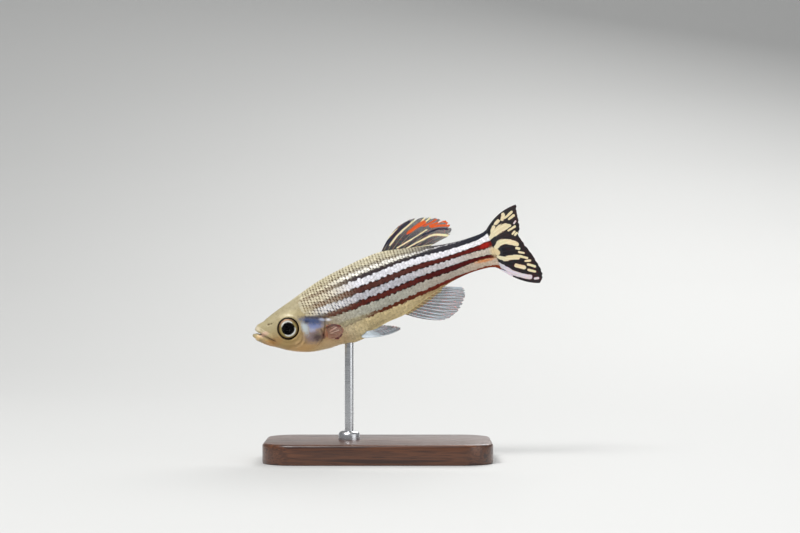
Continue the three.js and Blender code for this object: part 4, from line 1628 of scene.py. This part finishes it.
    def gill_cover(self, flat: Array) -> Array:
        """How the gill cover swells, with the slit sunk behind it.

        Args:
            flat: points of the side view.

        Returns:
            How far out each point moves.
        """
        slit = curve(self.gill_slit, 80)
        gap, along = distance_to_path(flat, slit)
        cover = inside(flat, np.vstack([slit, self.cover_front]))
        sunk = self.relief.slit * bump(gap, 0.22) + self.relief.slit_shoulder * bump(gap, 0.6)
        ends = blend(0.05, 0.4, along) * blend(1.0, 0.8, along)
        return np.where(cover, self.relief.cover * bump(gap, 1.5), -sunk) * ends

    def cheek(self, flat: Array) -> Array:
        """The groove behind the cheek, with a low rim after it.

        Args:
            flat: points of the side view.

        Returns:
            How far out each point moves.
        """
        groove = curve(self.cheek_groove, 60)
        gap, along = distance_to_path(flat, groove)
        behind = flat[:, 0] > 7.2 - 0.5 * np.abs(flat[:, 1] + 1.0)
        rim = self.relief.cheek_rim * behind * bump(gap - 0.35, 0.3)
        rise = rim - self.relief.cheek_groove * bump(gap, 0.16)
        return rise * blend(0, 0.15, along) * blend(1, 0.85, along)

    def shape(self, piece: Piece) -> None:
        """Moves points for the gill cover, the cheek, the eye's rim, the nostrils, the throat and the snout.

        Args:
            piece: the skin.
        """
        points, out = coordinates(piece), normals(piece)
        flat, relief = points[:, [0, 2]], self.relief
        flank = blend(0.35, 0.9, np.abs(out[:, 1])) * blend(0.25, 0.6, np.abs(points[:, 1]))
        rise = self.gill_cover(flat) + self.cheek(flat)
        x, z, radius, _ = self.socket
        past = np.hypot(flat[:, 0] - x, flat[:, 1] - z) - radius
        rise += relief.eye_rim * bump(past - 0.2, 0.2) - relief.eye_hollow * bump(past - 0.6, 0.22)
        for place_x, place_z, size in self.nostrils:
            away = np.hypot(flat[:, 0] - place_x, (flat[:, 1] - place_z) * 1.15)
            rim = relief.nostril_rim * bump(away - size * 1.3, 0.14)
            rise += rim - relief.nostril * bump(away, size * 0.8)
        throat = bump(flat[:, 0] - 5.6, 2.6) * bump(points[:, 1], 0.22) * blend(-0.2, -0.8, out[:, 2])
        points += out * (rise * flank)[:, None] - out * (relief.throat * throat)[:, None]
        bulge = relief.snout_bulge * bump(np.hypot(flat[:, 0] - 0.85, flat[:, 1] - 0.8), 0.42)
        dip = relief.snout_dip * bump(flat[:, 0] - 2.0, 0.5) * blend(0.5, 1.0, flat[:, 1])
        points[:, 2] += bulge - dip
        move_points(piece, points)

    def thin_out(self, piece: Piece) -> None:
        """Merges small faces where the scales cover them.

        Args:
            piece: the skin.
        """
        group = piece.vertex_groups.new(name="flank")
        covered = coordinates(piece)[:, 0] > self.scaled_from
        group.add(np.flatnonzero(covered).tolist(), 1.0, "REPLACE")
        modify(piece, "DECIMATE", ratio=self.kept_faces, vertex_group="flank")
        piece.vertex_groups.clear()

    def finish(self, piece: Piece) -> None:
        """Marks the mouth's inside for its painted shade, sets the skin in place and dresses it.

        Args:
            piece: the skin, in the fish's frame.
        """
        points = coordinates(piece)
        self.markings.record(piece, points, points)
        # The mouth's inside gets painted shade, stronger near the opening and deeper in from the flank.
        gap, along = distance_to_path(points[:, [0, 2]], curve(self.cleft, 60))
        flank = self.body.half_width_at(np.maximum(points[:, 0], 0.0), points[:, 2])
        deep = blend(0.03, 0.22, flank - np.abs(points[:, 1]))
        record_values(piece, "mouth", blend(0.12, 0.02, gap - self.half_cleft(along)) * deep)
        record_values(piece, "paint", painted(points, TAIL_STREAKS))
        hang(
            piece, SkinFinish(), "head_skin",
            "head", "jaw", "trunk", "tail_stalk", "gill_cover_left", "gill_cover_right",
        )


@dataclass
class ScaleCoat:
    """The overlapping scales of one flank, each a thin curved plate.

    The steps are the columns' spacing at places along the body. The seam is the coat's front edge in the
    side view. Widths, lengths and heights are in millimetres, or shares of a scale's own step.
    """

    body: Body
    markings: Markings
    side: Side
    rows: int = 28
    grid: int = 5
    steps: tuple = ((8.0, 0.46), (18.0, 0.52), (30.0, 0.46), (40.3, 0.38))
    start: float = 7.2
    end: float = 40.0
    overlap: float = 1.75
    width_share: float = 0.66
    root_height: float = -0.015
    tip_height: float = 0.034
    thickness: float = 0.016
    curl: float = 0.003
    patch: float = 0.003
    stripe_share: float = 0.4
    seam: tuple = (
        (8.9, 6.0), (8.6, 3.3), (8.05, 1.6), (8.0, 0.3), (8.7, -0.5), (10.5, -1.05), (11.6, -1.75),
        (11.35, -2.7), (10.9, -3.75), (10.7, -4.75), (11.0, -5.75), (11.9, -6.4), (12.5, -8.2),
    )

    def centres(self) -> tuple[Array, Array, Array]:
        """Finds where the scales go.

        Returns:
            Each scale's distance from the mouth, its share of the way round, and its column's step.
        """
        knots = np.array(self.steps)
        found = []
        x, column = self.start, 0
        while x < self.end:
            step = float(np.interp(x, knots[:, 0], knots[:, 1]))
            for row in range(self.rows):
                found.append((x, (row + 0.5 + 0.5 * (column % 2) - 0.25) / self.rows, step))
            x, column = x + step, column + 1
        x, round_, step = np.array(found).T
        middle, _ = self.body.surface(x, np.minimum(round_, 1.0))
        keep = x > self.seam_at(middle[:, 2]) + 0.42
        return x[keep], round_[keep], step[keep]

    def seam_at(self, z: Array) -> Array:
        """Where along the fish the coat begins, at a height of the side view."""
        seam = np.array(self.seam)[::-1]
        return np.interp(z, seam[:, 1], seam[:, 0])

    def size(self, x: Array, z: Array, round_: Array) -> Array:
        """How thick and raised each scale is: less by the seam, on the tail stalk and towards the belly."""
        rear = np.interp(x, [14.0, 30.0, 40.0], [1.0, 0.85, 0.5])
        return rear * blend(0.0, 3.5, x - self.seam_at(z)) * (1.0 - 0.45 * blend(0.62, 0.78, round_))

    def build(self) -> Piece:
        """Lays every scale on the flank as one mesh.

        Returns:
            The scales, in the fish's frame.
        """
        chance = np.random.default_rng(SEED + self.side.value)
        x, round_, step = self.centres()
        count = len(x)
        x = x + chance.normal(0.0, 0.035, count) * step
        girth = self.body.half_girth(x)
        line = np.linspace(-1.0, 1.0, self.grid)
        s, t = (each.ravel() for each in np.meshgrid(line, line, indexing="ij"))
        long_ = s * np.sqrt(1.0 - t * t / 2.0)
        wide = t * np.sqrt(1.0 - s * s / 2.0)
        half_long = (self.overlap * step * chance.normal(1.0, 0.03, count) / 2.0)[:, None]
        half_wide = (self.width_share * girth / self.rows * chance.normal(1.0, 0.03, count))[:, None]
        turn = chance.normal(0.0, 0.05, count)[:, None]
        ahead = long_ * half_long * np.cos(turn) - wide * half_wide * np.sin(turn)
        across = long_ * half_long * np.sin(turn) + wide * half_wide * np.cos(turn)
        share = round_[:, None] + across / girth[:, None]
        over = np.where(share < 0, -share, np.where(share > 1, 2.0 - share, share))
        flip = np.where((share < 0) | (share > 1), -1.0, 1.0)
        base, out = self.body.surface(x[:, None] + ahead + half_long * 0.2, over)
        base[..., 1] *= flip
        out[..., 1] *= flip
        lift = self.tip_height * chance.normal(1.0, 0.12, count)[:, None]
        height = self.root_height + (lift - self.root_height) * ((long_ + 1.0) / 2.0) ** 1.4
        curl = self.curl * (1.0 - wide * wide)
        size = self.size(x, base[:, self.grid**2 // 2, 2], round_)[:, None]
        top = base + out * ((height + curl) * size)[..., None]
        under = top - out * (self.thickness * size)[..., None]
        points = np.concatenate([top, under], axis=1)
        points[..., 1] *= self.side.value
        level = self.body.surface(x, np.clip(round_, 0.0, 1.0))[0][:, 2][:, None]
        stripe_x = (x + 0.3 * half_long[:, 0])[:, None] + self.stripe_share * ahead
        stripe_z = level + self.stripe_share * (base[..., 2] - level)
        roots = np.stack([stripe_x, base[..., 1], stripe_z], axis=-1)
        piece = mesh_piece(f"scales_{self.side.name.lower()}", points.reshape(-1, 3), self.faces(count))
        self.mark(piece, points, np.concatenate([roots, roots], axis=1), long_, wide, chance.random(count))
        self.unwrap(piece, x, round_, long_, wide)
        return piece

    def faces(self, count: int) -> list[tuple[int, ...]]:
        """The faces of count plates.

        Args:
            count: number of scales.

        Returns:
            The faces, turned outwards on either flank.
        """
        one = plate_faces(self.grid, self.grid)
        if self.side is Side.LEFT:
            one = [face[::-1] for face in one]
        plate = 2 * self.grid**2
        return [tuple(corner + k * plate for corner in face) for k in range(count) for face in one]

    def mark(
        self, piece: Piece, points: Array, roots: Array, long_: Array, wide: Array, tone: Array
    ) -> None:
        """Stores what the scales' finish reads.

        Args:
            piece: the scales, in the fish's frame.
            points: their points, scale by scale.
            roots: where each point takes its stripe from.
            long_: each point's place from the root, -1, to the tip, 1.
            wide: each point's place across its scale.
            tone: each scale's random number.
        """
        count, plate = points.shape[:2]
        self.markings.record(piece, points.reshape(-1, 3), roots.reshape(-1, 3))
        record_values(piece, "tip", np.tile(np.tile(long_, 2) / 2 + 0.5, count))
        record_values(piece, "across", np.tile(wide, 2 * count))
        record_values(piece, "tone", np.repeat(tone, plate))

    def unwrap(self, piece: Piece, x: Array, round_: Array, long_: Array, wide: Array) -> None:
        """Gives each scale a small patch of the map at its root's place on the unwrapped skin.

        Args:
            piece: the scales.
            x: their distances from the mouth.
            round_: their shares of the way round.
            long_: each point's place along its scale.
            wide: each point's place across its scale.
        """
        layer = piece.data.uv_layers.new(name="OFBake")
        u = (x[:, None] - self.start) / (self.end - self.start + 2.0) + np.tile(long_, 2) * self.patch / 2
        v = round_[:, None] * 0.95 + 0.02 + np.tile(wide, 2) * self.patch / 2
        flat = np.stack([u, v], axis=-1).reshape(-1, 2)
        corners = np.empty(len(piece.data.loops), np.int32)
        piece.data.loops.foreach_get("vertex_index", corners)
        layer.data.foreach_set("uv", flat[corners].astype(np.float32).ravel())

    def finish(self, piece: Piece) -> None:
        """Sets the scales in place and dresses them."""
        hang(piece, ScaleFinish(), "flank_skin")


@dataclass
class Eye:
    """One eye: a domed ball with its iris, under a clear cornea."""

    side: Side
    middle: float = 2.08
    dome: float = 0.5
    cornea_radius: float = 1.3
    cornea_dome: float = 0.6
    cup: float = 0.12

    def ball(self, name: str, radius: float, depth: float, segments: int) -> Piece:
        """A flattened ball whose pole faces sideways, set at the eye's place.

        Args:
            name: the piece's name.
            radius: its radius in the side view.
            depth: its half thickness.
            segments: how many sides it has round its edge.

        Returns:
            The ball, in the fish's frame.
        """
        bpy.ops.mesh.primitive_uv_sphere_add(
            segments=segments, ring_count=segments // 2, radius=1.0,
            location=(EYE_X, self.side.value * self.middle, EYE_Z), rotation=(math.pi / 2, 0.0, 0.0),
            scale=(radius, radius, depth),
        )
        piece = bpy.context.object
        piece.name = piece.data.name = name
        bpy.ops.object.transform_apply(location=True, rotation=True, scale=True)
        return piece

    def build(self) -> None:
        """Makes the ball, flattened a little over the pupil, and the cornea."""
        label = self.side.name.lower()
        ball = self.ball(f"eyeball_{label}", EYE_RADIUS, self.dome, 64)
        points = coordinates(ball)
        away = np.hypot(points[:, 0] - EYE_X, points[:, 2] - EYE_Z) / EYE_RADIUS
        front = points[:, 1] * self.side.value > self.middle
        points[:, 1] -= self.side.value * front * self.cup * bump(away, 0.55)
        move_points(ball, points)
        record_values(ball, "fish", points)
        cornea = self.ball(f"cornea_{label}", self.cornea_radius, self.cornea_dome, 48)
        record_values(cornea, "fish", coordinates(cornea))
        hang(ball, EyeFinish(), "eye", f"eye_{label}")
        hang(cornea, CorneaFinish(), "eye")


@dataclass
class Fin:
    """One fin: a thin membrane with tapered rays that fork towards its edge.

    The root and tip lines run from the first ray to the last; bow is how far the first and the last
    ray arch away from straight. A fork's place is a share of the way from root to edge, and a second
    fork at 0 means none.
    """

    name: str
    rays: int
    root: tuple
    tip: tuple
    bow: tuple
    notch: float
    slot: str
    membrane: FinFinish
    bone: FinFinish
    streaks: tuple[Streak, ...] = ()
    ray_width: float = 0.085
    ray_sides: int = 8
    ray_end: float = 0.985
    spread: float = 0.27
    first_share: float = 0.75
    fork_overlap: float = 0.02
    fork_at: float = 0.5
    fork_again: float = 0.0
    side: Side = Side.RIGHT
    columns_per_ray: int = 8
    rows: int = 60
    membrane_root: float = 0.035
    membrane_edge: float = 0.012

    def place(self, u: Array, v: Array) -> Array:
        """Points of the fin's middle surface.

        Args:
            u: places along its root, from 0 to 1.
            v: places from its root to its edge, from 0 to 1.

        Returns:
            A point for each pair.
        """
        a = catmull(np.array(self.root, float), u)
        c = catmull(np.array(self.tip, float), u)
        first, last = (np.array(b, float) for b in self.bow)
        b = (a + c) / 2 + first + (last - first) * np.asarray(u)[:, None]
        v = np.asarray(v)[:, None]
        point = a * (1 - v) ** 2 + 2 * v * (1 - v) * b + v * v * c
        point[:, 1] += 0.05 * np.sin(TAU * (np.asarray(u) * 2.3 + v[:, 0] * 0.8)) * v[:, 0]
        return point

    def directions(self, u: Array, v: Array) -> Array:
        """Unit directions square to the membrane.

        Args:
            u: places along its root.
            v: places from its root to its edge.

        Returns:
            A direction for each pair.
        """
        step = 1e-3
        du = self.place(np.minimum(u + step, 1), v) - self.place(np.maximum(u - step, 0), v)
        dv = self.place(u, np.minimum(v + step, 1)) - self.place(u, np.maximum(v - step, 0))
        out = np.cross(du, dv)
        return out / (np.linalg.norm(out, axis=1)[:, None] + TINY)

    def sheet(self) -> Piece:
        """The membrane, thinnest at its edge, which is notched between the rays.

        Returns:
            The membrane, in the fish's frame.
        """
        columns, rows = self.rays * self.columns_per_ray + 1, self.rows + 1
        u, v = np.meshgrid(np.linspace(0, 1, columns), np.linspace(0, 1, rows), indexing="ij")
        between = np.abs(np.cos(math.pi * u * self.rays)) ** 1.5
        frayed = 0.5 + 0.35 * np.sin(u * 37.0) + 0.35 * np.sin(u * 91.0 + 1.0)
        reach = 1.0 - self.notch * between * np.clip(frayed, 0.1, 1.2)
        flat_u, flat_v = u.ravel(), (v * reach).ravel()
        middle, out = self.place(flat_u, flat_v), self.directions(flat_u, flat_v)
        half = (self.membrane_root + (self.membrane_edge - self.membrane_root) * v.ravel())[:, None]
        points = np.vstack([middle + out * half, middle - out * half])
        points[:, 1] *= self.side.value
        piece = closed_piece(f"{self.name}_membrane", points, plate_faces(columns, rows))
        record_values(piece, "along", np.tile(flat_v, 2))
        record_values(piece, "ray", np.tile(flat_u * self.rays, 2))
        return piece

    def ray_lines(self) -> list[tuple[Array, Array, Array]]:
        """The rays' branches.

        Returns:
            For each branch, u and v along it and how wide it is there.
        """
        lines = []
        spread = self.spread / self.rays
        stages = [(0.0, self.fork_at, (0.0,)), (self.fork_at, self.fork_again or self.ray_end, (-1.0, 1.0))]
        if self.fork_again:
            stages.append((self.fork_again, self.ray_end, (-1.35, -0.65, 0.65, 1.35)))
        for k in range(self.rays):
            middle = (k + 0.5) / self.rays
            for stage, (start, end, shares) in enumerate(stages):
                for share in shares:
                    v = np.linspace(start - (self.fork_overlap if stage else 0.0), end, 16)
                    before = math.copysign(self.first_share, share) * spread if stage == 2 else 0.0
                    after = share * spread * (self.first_share if stage == 1 and self.fork_again else 1.0)
                    u = middle + before + (after - before) * blend(start, end, v) ** 0.8
                    lines.append((u, v, self.ray_width * (1.0 - 0.72 * v) * (0.78**stage)))
        return lines

    def bones(self) -> Piece:
        """All of the rays as one mesh of thin tapered tubes.

        Returns:
            The rays, in the fish's frame.
        """
        all_points, all_faces, along, across = [], [], [], []
        start = 0
        for u, v, width in self.ray_lines():
            points, faces = tube_mesh(self.place(u, v), width, self.ray_sides)
            all_points.append(points)
            all_faces += [tuple(corner + start for corner in face) for face in faces]
            along.append(np.concatenate([np.repeat(v, self.ray_sides), v[[0, -1]]]))
            across.append(np.concatenate([np.repeat(u, self.ray_sides), u[[0, -1]]]) * self.rays)
            start += len(points)
        points = np.vstack(all_points)
        points[:, 1] *= self.side.value
        piece = closed_piece(f"{self.name}_rays", points, all_faces)
        record_values(piece, "along", np.concatenate(along))
        record_values(piece, "ray", np.concatenate(across))
        return piece

    def build(self) -> None:
        """Makes the membrane and the rays, paints them and sets them in place."""
        made = ((self.sheet(), self.membrane, (self.name,)), (self.bones(), self.bone, ()))
        for piece, finish, nodes in made:
            points = coordinates(piece)
            record_values(piece, "fish", points)
            record_values(piece, "paint", painted(points, self.streaks))
            hang(piece, finish, self.slot, *nodes)


def fins() -> list[Fin]:
    """The seven fins, with their own forms and colours.

    Returns:
        The fins, ready to build.
    """
    clear_bone = FinFinish("silver rays", "#cfdbe4", "#cfc294", jointed=True)
    clear_sheet = FinFinish(
        "clear membrane", "#3f4c54", "#8f8048", alpha=0.5, alpha_painted=0.66, edge_alpha=0.62,
    )
    red_bone = FinFinish("salmon rays", "#cfae98", "#6b2f24", "#e2c8b8", jointed=True)
    red_sheet = FinFinish(
        "salmon membrane", "#8f6450", "#4f1f18", "#d9b9a6", alpha=0.72, alpha_painted=0.9, edge_alpha=0.85,
    )
    dorsal_bone = FinFinish("dorsal rays", "#6f6858", "#efe4c4", "#de7a34", "#2a3048", jointed=True)
    dorsal_sheet = FinFinish(
        "dorsal membrane", "#2c3036", "#e6d9b0", "#d4581f", "#141a30", alpha=0.5, alpha_painted=0.95,
        edge_alpha=0.85,
    )
    tail_bone = FinFinish("tail rays", "#131118", "#efe6c4", "#dcd6e8", "#e6c79c", jointed=True)
    pelvic = dict(
        rays=8, notch=0.04, slot="clear_fin", membrane=clear_sheet, bone=clear_bone,
        root=((15.8, 2.0, -6.8), (15.85, 1.6, -6.5), (16.0, 1.15, -6.15), (16.1, 0.7, -5.85)),
        tip=((22.1, 3.0, -7.72), (21.4, 3.4, -7.15), (20.3, 3.6, -6.6), (19.2, 3.5, -6.1)),
        bow=((0.2, 0.9, -0.9), (0.1, 1.0, -0.5)),
    )
    pectoral = dict(
        rays=10, notch=0.04, slot="pectoral_fin", membrane=red_sheet, bone=red_bone,
        root=((10.9, 2.1, -3.3), (10.9, 2.0, -3.75), (10.85, 1.9, -4.25), (10.8, 1.8, -4.75)),
        tip=((12.2, 6.9, -2.9), (13.3, 7.5, -3.5), (13.75, 7.3, -4.3), (13.3, 6.7, -5.1), (12.4, 5.7, -5.65)),
        bow=((-0.5, 0.5, 0.15), (-0.4, 0.3, -0.1)), ray_width=0.065, streaks=PECTORAL_STREAKS,
    )
    made = [
        Fin(
            name="fin_dorsal", rays=9, notch=0.09, slot="dorsal_fin", streaks=DORSAL_STREAKS,
            membrane=dorsal_sheet, bone=dorsal_bone,
            root=((22.75, 0, 3.96), (24.45, 0, 3.6), (26.45, 0, 3.08), (28.75, 0, 2.44)),
            tip=(
                (27.9, 0, 7.75), (29.7, 0.1, 7.95), (31.2, 0.2, 7.62), (32.6, 0.25, 7.2), (33.9, 0.3, 6.4),
                (34.95, 0.25, 5.6), (35.25, 0.15, 4.7), (35.0, 0.1, 3.75), (34.2, 0.05, 3.25),
            ),
            bow=((-0.1, 0.2, 1.1), (0.1, 0.1, 0.2)), fork_again=0.78,
        ),
        Fin(
            name="fin_anal", rays=12, notch=0.05, slot="clear_fin", streaks=ANAL_STREAKS,
            membrane=clear_sheet, bone=clear_bone,
            root=((22.5, 0, -5.0), (24.8, 0, -4.45), (27.0, 0, -3.9), (29.2, 0, -3.3)),
            tip=(
                (28.7, 0, -8.85), (29.9, 0.1, -8.85), (31.0, 0.15, -8.55), (32.0, 0.2, -8.0),
                (32.75, 0.2, -7.3), (33.35, 0.2, -6.55), (33.6, 0.15, -5.85), (33.6, 0.1, -5.3),
                (33.4, 0, -5.0),
            ),
            bow=((-0.1, 0.1, -0.85), (0.1, 0.1, 0)), fork_at=0.45, ray_width=0.11,
        ),
        Fin(
            name="fin_tail", rays=18, notch=0.022, slot="tail_fin", streaks=TAIL_STREAKS,
            membrane=TAIL_MEMBRANE, bone=tail_bone,
            root=((39.6, 0, 1.5), (39.75, 0, 0.3), (39.75, 0, -1.0), (39.75, 0, -2.5), (39.6, 0, -3.9)),
            tip=(
                (46.2, 0, 4.15), (45.8, 0.1, 3.0), (45.6, 0.15, 1.6), (45.3, 0.2, 0.4), (44.75, 0.2, -0.5),
                (44.95, 0.15, -1.5), (45.4, 0.1, -3.2), (45.85, 0, -5.0), (46.1, -0.1, -6.7),
                (46.0, -0.1, -8.0), (45.2, -0.1, -8.85),
            ),
            bow=((-0.3, 0.1, 1.55), (-0.2, -0.1, -1.5)), fork_again=0.75, ray_width=0.08,
            columns_per_ray=9, rows=72,
        ),
    ]
    for side in Side:
        made.append(Fin(name=f"fin_pelvic_{side.name.lower()}", side=side, **pelvic))
        made.append(Fin(name=f"fin_pectoral_{side.name.lower()}", side=side, **pectoral))
    return made


@dataclass
class Stand:
    """The display stand: a bevelled wooden base, a turned collar and a steel rod, in millimetres."""

    length: float = 36.0
    width: float = 22.0
    thickness: float = 3.2
    corner: float = 5.0
    bevel: float = 0.5
    rod_x: float = -4.6
    rod_radius: float = 0.7
    collar_radius: float = 1.7
    collar_height: float = 1.4
    collar_sunk: float = 0.1
    collar_round: float = 0.7
    rod_round: float = 0.1
    belly: float = 18.9
    crisp_angle: float = 35.0

    def base(self) -> None:
        """Makes the block, with round corners and bevelled edges."""
        top = self.thickness * MM
        bpy.ops.mesh.primitive_cube_add(size=1.0, location=(0.0, 0.0, top / 2))
        piece = bpy.context.object
        piece.name = "stand_wood"
        piece.scale = (self.length * MM, self.width * MM, top)
        bpy.ops.object.transform_apply(location=True, rotation=True, scale=True)
        pick_edges(piece, lambda a, b: abs(a.z - b.z) > top / 2)
        bevel_picked(self.corner * MM, 12)
        pick_edges(piece, at_height(top))
        bevel_picked(self.bevel * MM, 5)
        pick_edges(piece, at_height(0.0))
        bevel_picked(self.bevel * 0.5 * MM, 2)
        settle(piece, WoodFinish(), "base_wood", "stand_base", smooth_angle=self.crisp_angle)

    def turned(self, name: str, node: str, radius: float, low: float, high: float, edge: float) -> None:
        """Makes an upright round bar of steel with its top edge rounded.

        Args:
            name: the piece's name.
            node: the solid that it replaces.
            radius: its radius.
            low: the height of its lower end.
            high: the height of its upper end.
            edge: how far its top edge is rounded.
        """
        bpy.ops.mesh.primitive_cylinder_add(
            vertices=48, radius=radius * MM, depth=(high - low) * MM,
            location=(self.rod_x * MM, 0.0, (low + high) / 2 * MM),
        )
        piece = bpy.context.object
        piece.name = name
        bpy.ops.object.transform_apply(location=True, rotation=True, scale=True)
        pick_edges(piece, at_height(high * MM))
        bevel_picked(edge * MM, 5)
        settle(piece, SteelFinish(), "rod_steel", node, smooth_angle=self.crisp_angle)

    def build(self) -> None:
        """Makes the collar, the rod and the base."""
        top = self.thickness
        low, high = top - self.collar_sunk, top + self.collar_height
        self.turned("stand_ring", "stand_collar", self.collar_radius, low, high, self.collar_round)
        self.turned("stand_pin", "stand_rod", self.rod_radius, top, self.belly, self.rod_round)
        self.base()


@dataclass(frozen=True)
class Lamp:
    """A soft square light: its place and size in metres, and its power."""

    name: str
    place: tuple[float, float, float]
    size: float
    power: float

    def light(self, aim: Vector) -> None:
        """Adds the light, turned to a point.

        Args:
            aim: the point, in metres.
        """
        bpy.ops.object.light_add(type="AREA", location=self.place)
        lamp = bpy.context.object
        lamp.name = self.name
        lamp.data.size = self.size
        lamp.data.energy = self.power
        lamp.rotation_euler = (aim - Vector(self.place)).to_track_quat("-Z", "Y").to_euler()


@dataclass
class Studio:
    """A pale swept floor, soft lights and the camera at the photograph's framing.

    Sizes and distances are in metres, the camera's aim in millimetres.
    """

    floor_size: float = 1.6
    wall_height: float = 0.9
    sweep: float = 0.6
    aim_x: float = 3.46
    aim_z: float = 30.65
    distance: float = 0.3525
    lens: float = 100.0
    film: float = 36.0
    air: tuple[float, ...] = (0.9, 0.92, 0.95, 1.0)
    air_strength: float = 0.28
    lit_height: float = 0.02
    lamps: tuple[Lamp, ...] = (
        Lamp("key softbox", (-0.2, -0.28, 0.5), 0.26, 3.5),
        Lamp("fill softbox", (0.45, -0.3, 0.12), 0.4, 0.8),
        Lamp("rim softbox", (0.15, 0.35, 0.35), 0.3, 1.6),
    )

    def floor(self) -> Piece:
        """A sheet of paper that sweeps up behind the stand.

        Returns:
            The sheet.
        """
        bpy.ops.mesh.primitive_plane_add(size=self.floor_size, location=(0.0, 0.0, 0.0))
        piece = bpy.context.object
        piece.name = "studio_paper"
        back = self.floor_size / 2 - NEAR
        pick_edges(piece, lambda a, b: min(a.y, b.y) > back)
        bpy.ops.mesh.extrude_region_move(TRANSFORM_OT_translate={"value": (0.0, 0.0, self.wall_height)})
        bpy.ops.object.mode_set(mode="OBJECT")
        pick_edges(piece, lambda a, b: min(a.y, b.y) > back and at_height(0.0)(a, b))
        bevel_picked(self.sweep, 16)
        piece.data.materials.append(FloorFinish().material())
        bpy.ops.object.shade_smooth()
        return piece

    def build(self) -> None:
        """Sets the floor, the lights, the surroundings and the camera."""
        self.floor()
        for lamp in self.lamps:
            lamp.light(Vector((0.0, 0.0, self.lit_height)))
        world = bpy.data.worlds.new("studio air")
        world.use_nodes = True
        background = world.node_tree.nodes["Background"]
        background.inputs["Color"].default_value = self.air
        background.inputs["Strength"].default_value = self.air_strength
        scene = bpy.context.scene
        scene.world = world
        scene.view_settings.view_transform = "Standard"
        place = (self.aim_x * MM, -self.distance, self.aim_z * MM)
        bpy.ops.object.camera_add(location=place, rotation=(math.pi / 2, 0.0, 0.0))
        scene.camera = bpy.context.object
        scene.camera.data.lens = self.lens
        scene.camera.data.sensor_width = self.film


def main() -> None:
    """Builds the fish, the stand and the studio, in order."""
    log.setLevel(logging.INFO)
    log.addHandler(logging.StreamHandler())
    body = Body()
    ends = body.stations[0].name, body.stations[-1].name
    log.info("%d solids to dress, the body from %s to %s", len(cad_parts), *ends)
    markings = Markings(body)
    skin = Skin(body, markings)
    skin.finish(skin.build())
    for side in Side:
        coat = ScaleCoat(body, markings, side)
        coat.finish(coat.build())
    for side in Side:
        Eye(side).build()
    for fin in fins():
        fin.build()
    Stand().build()
    Studio().build()


if __name__ == "__main__":
    main()
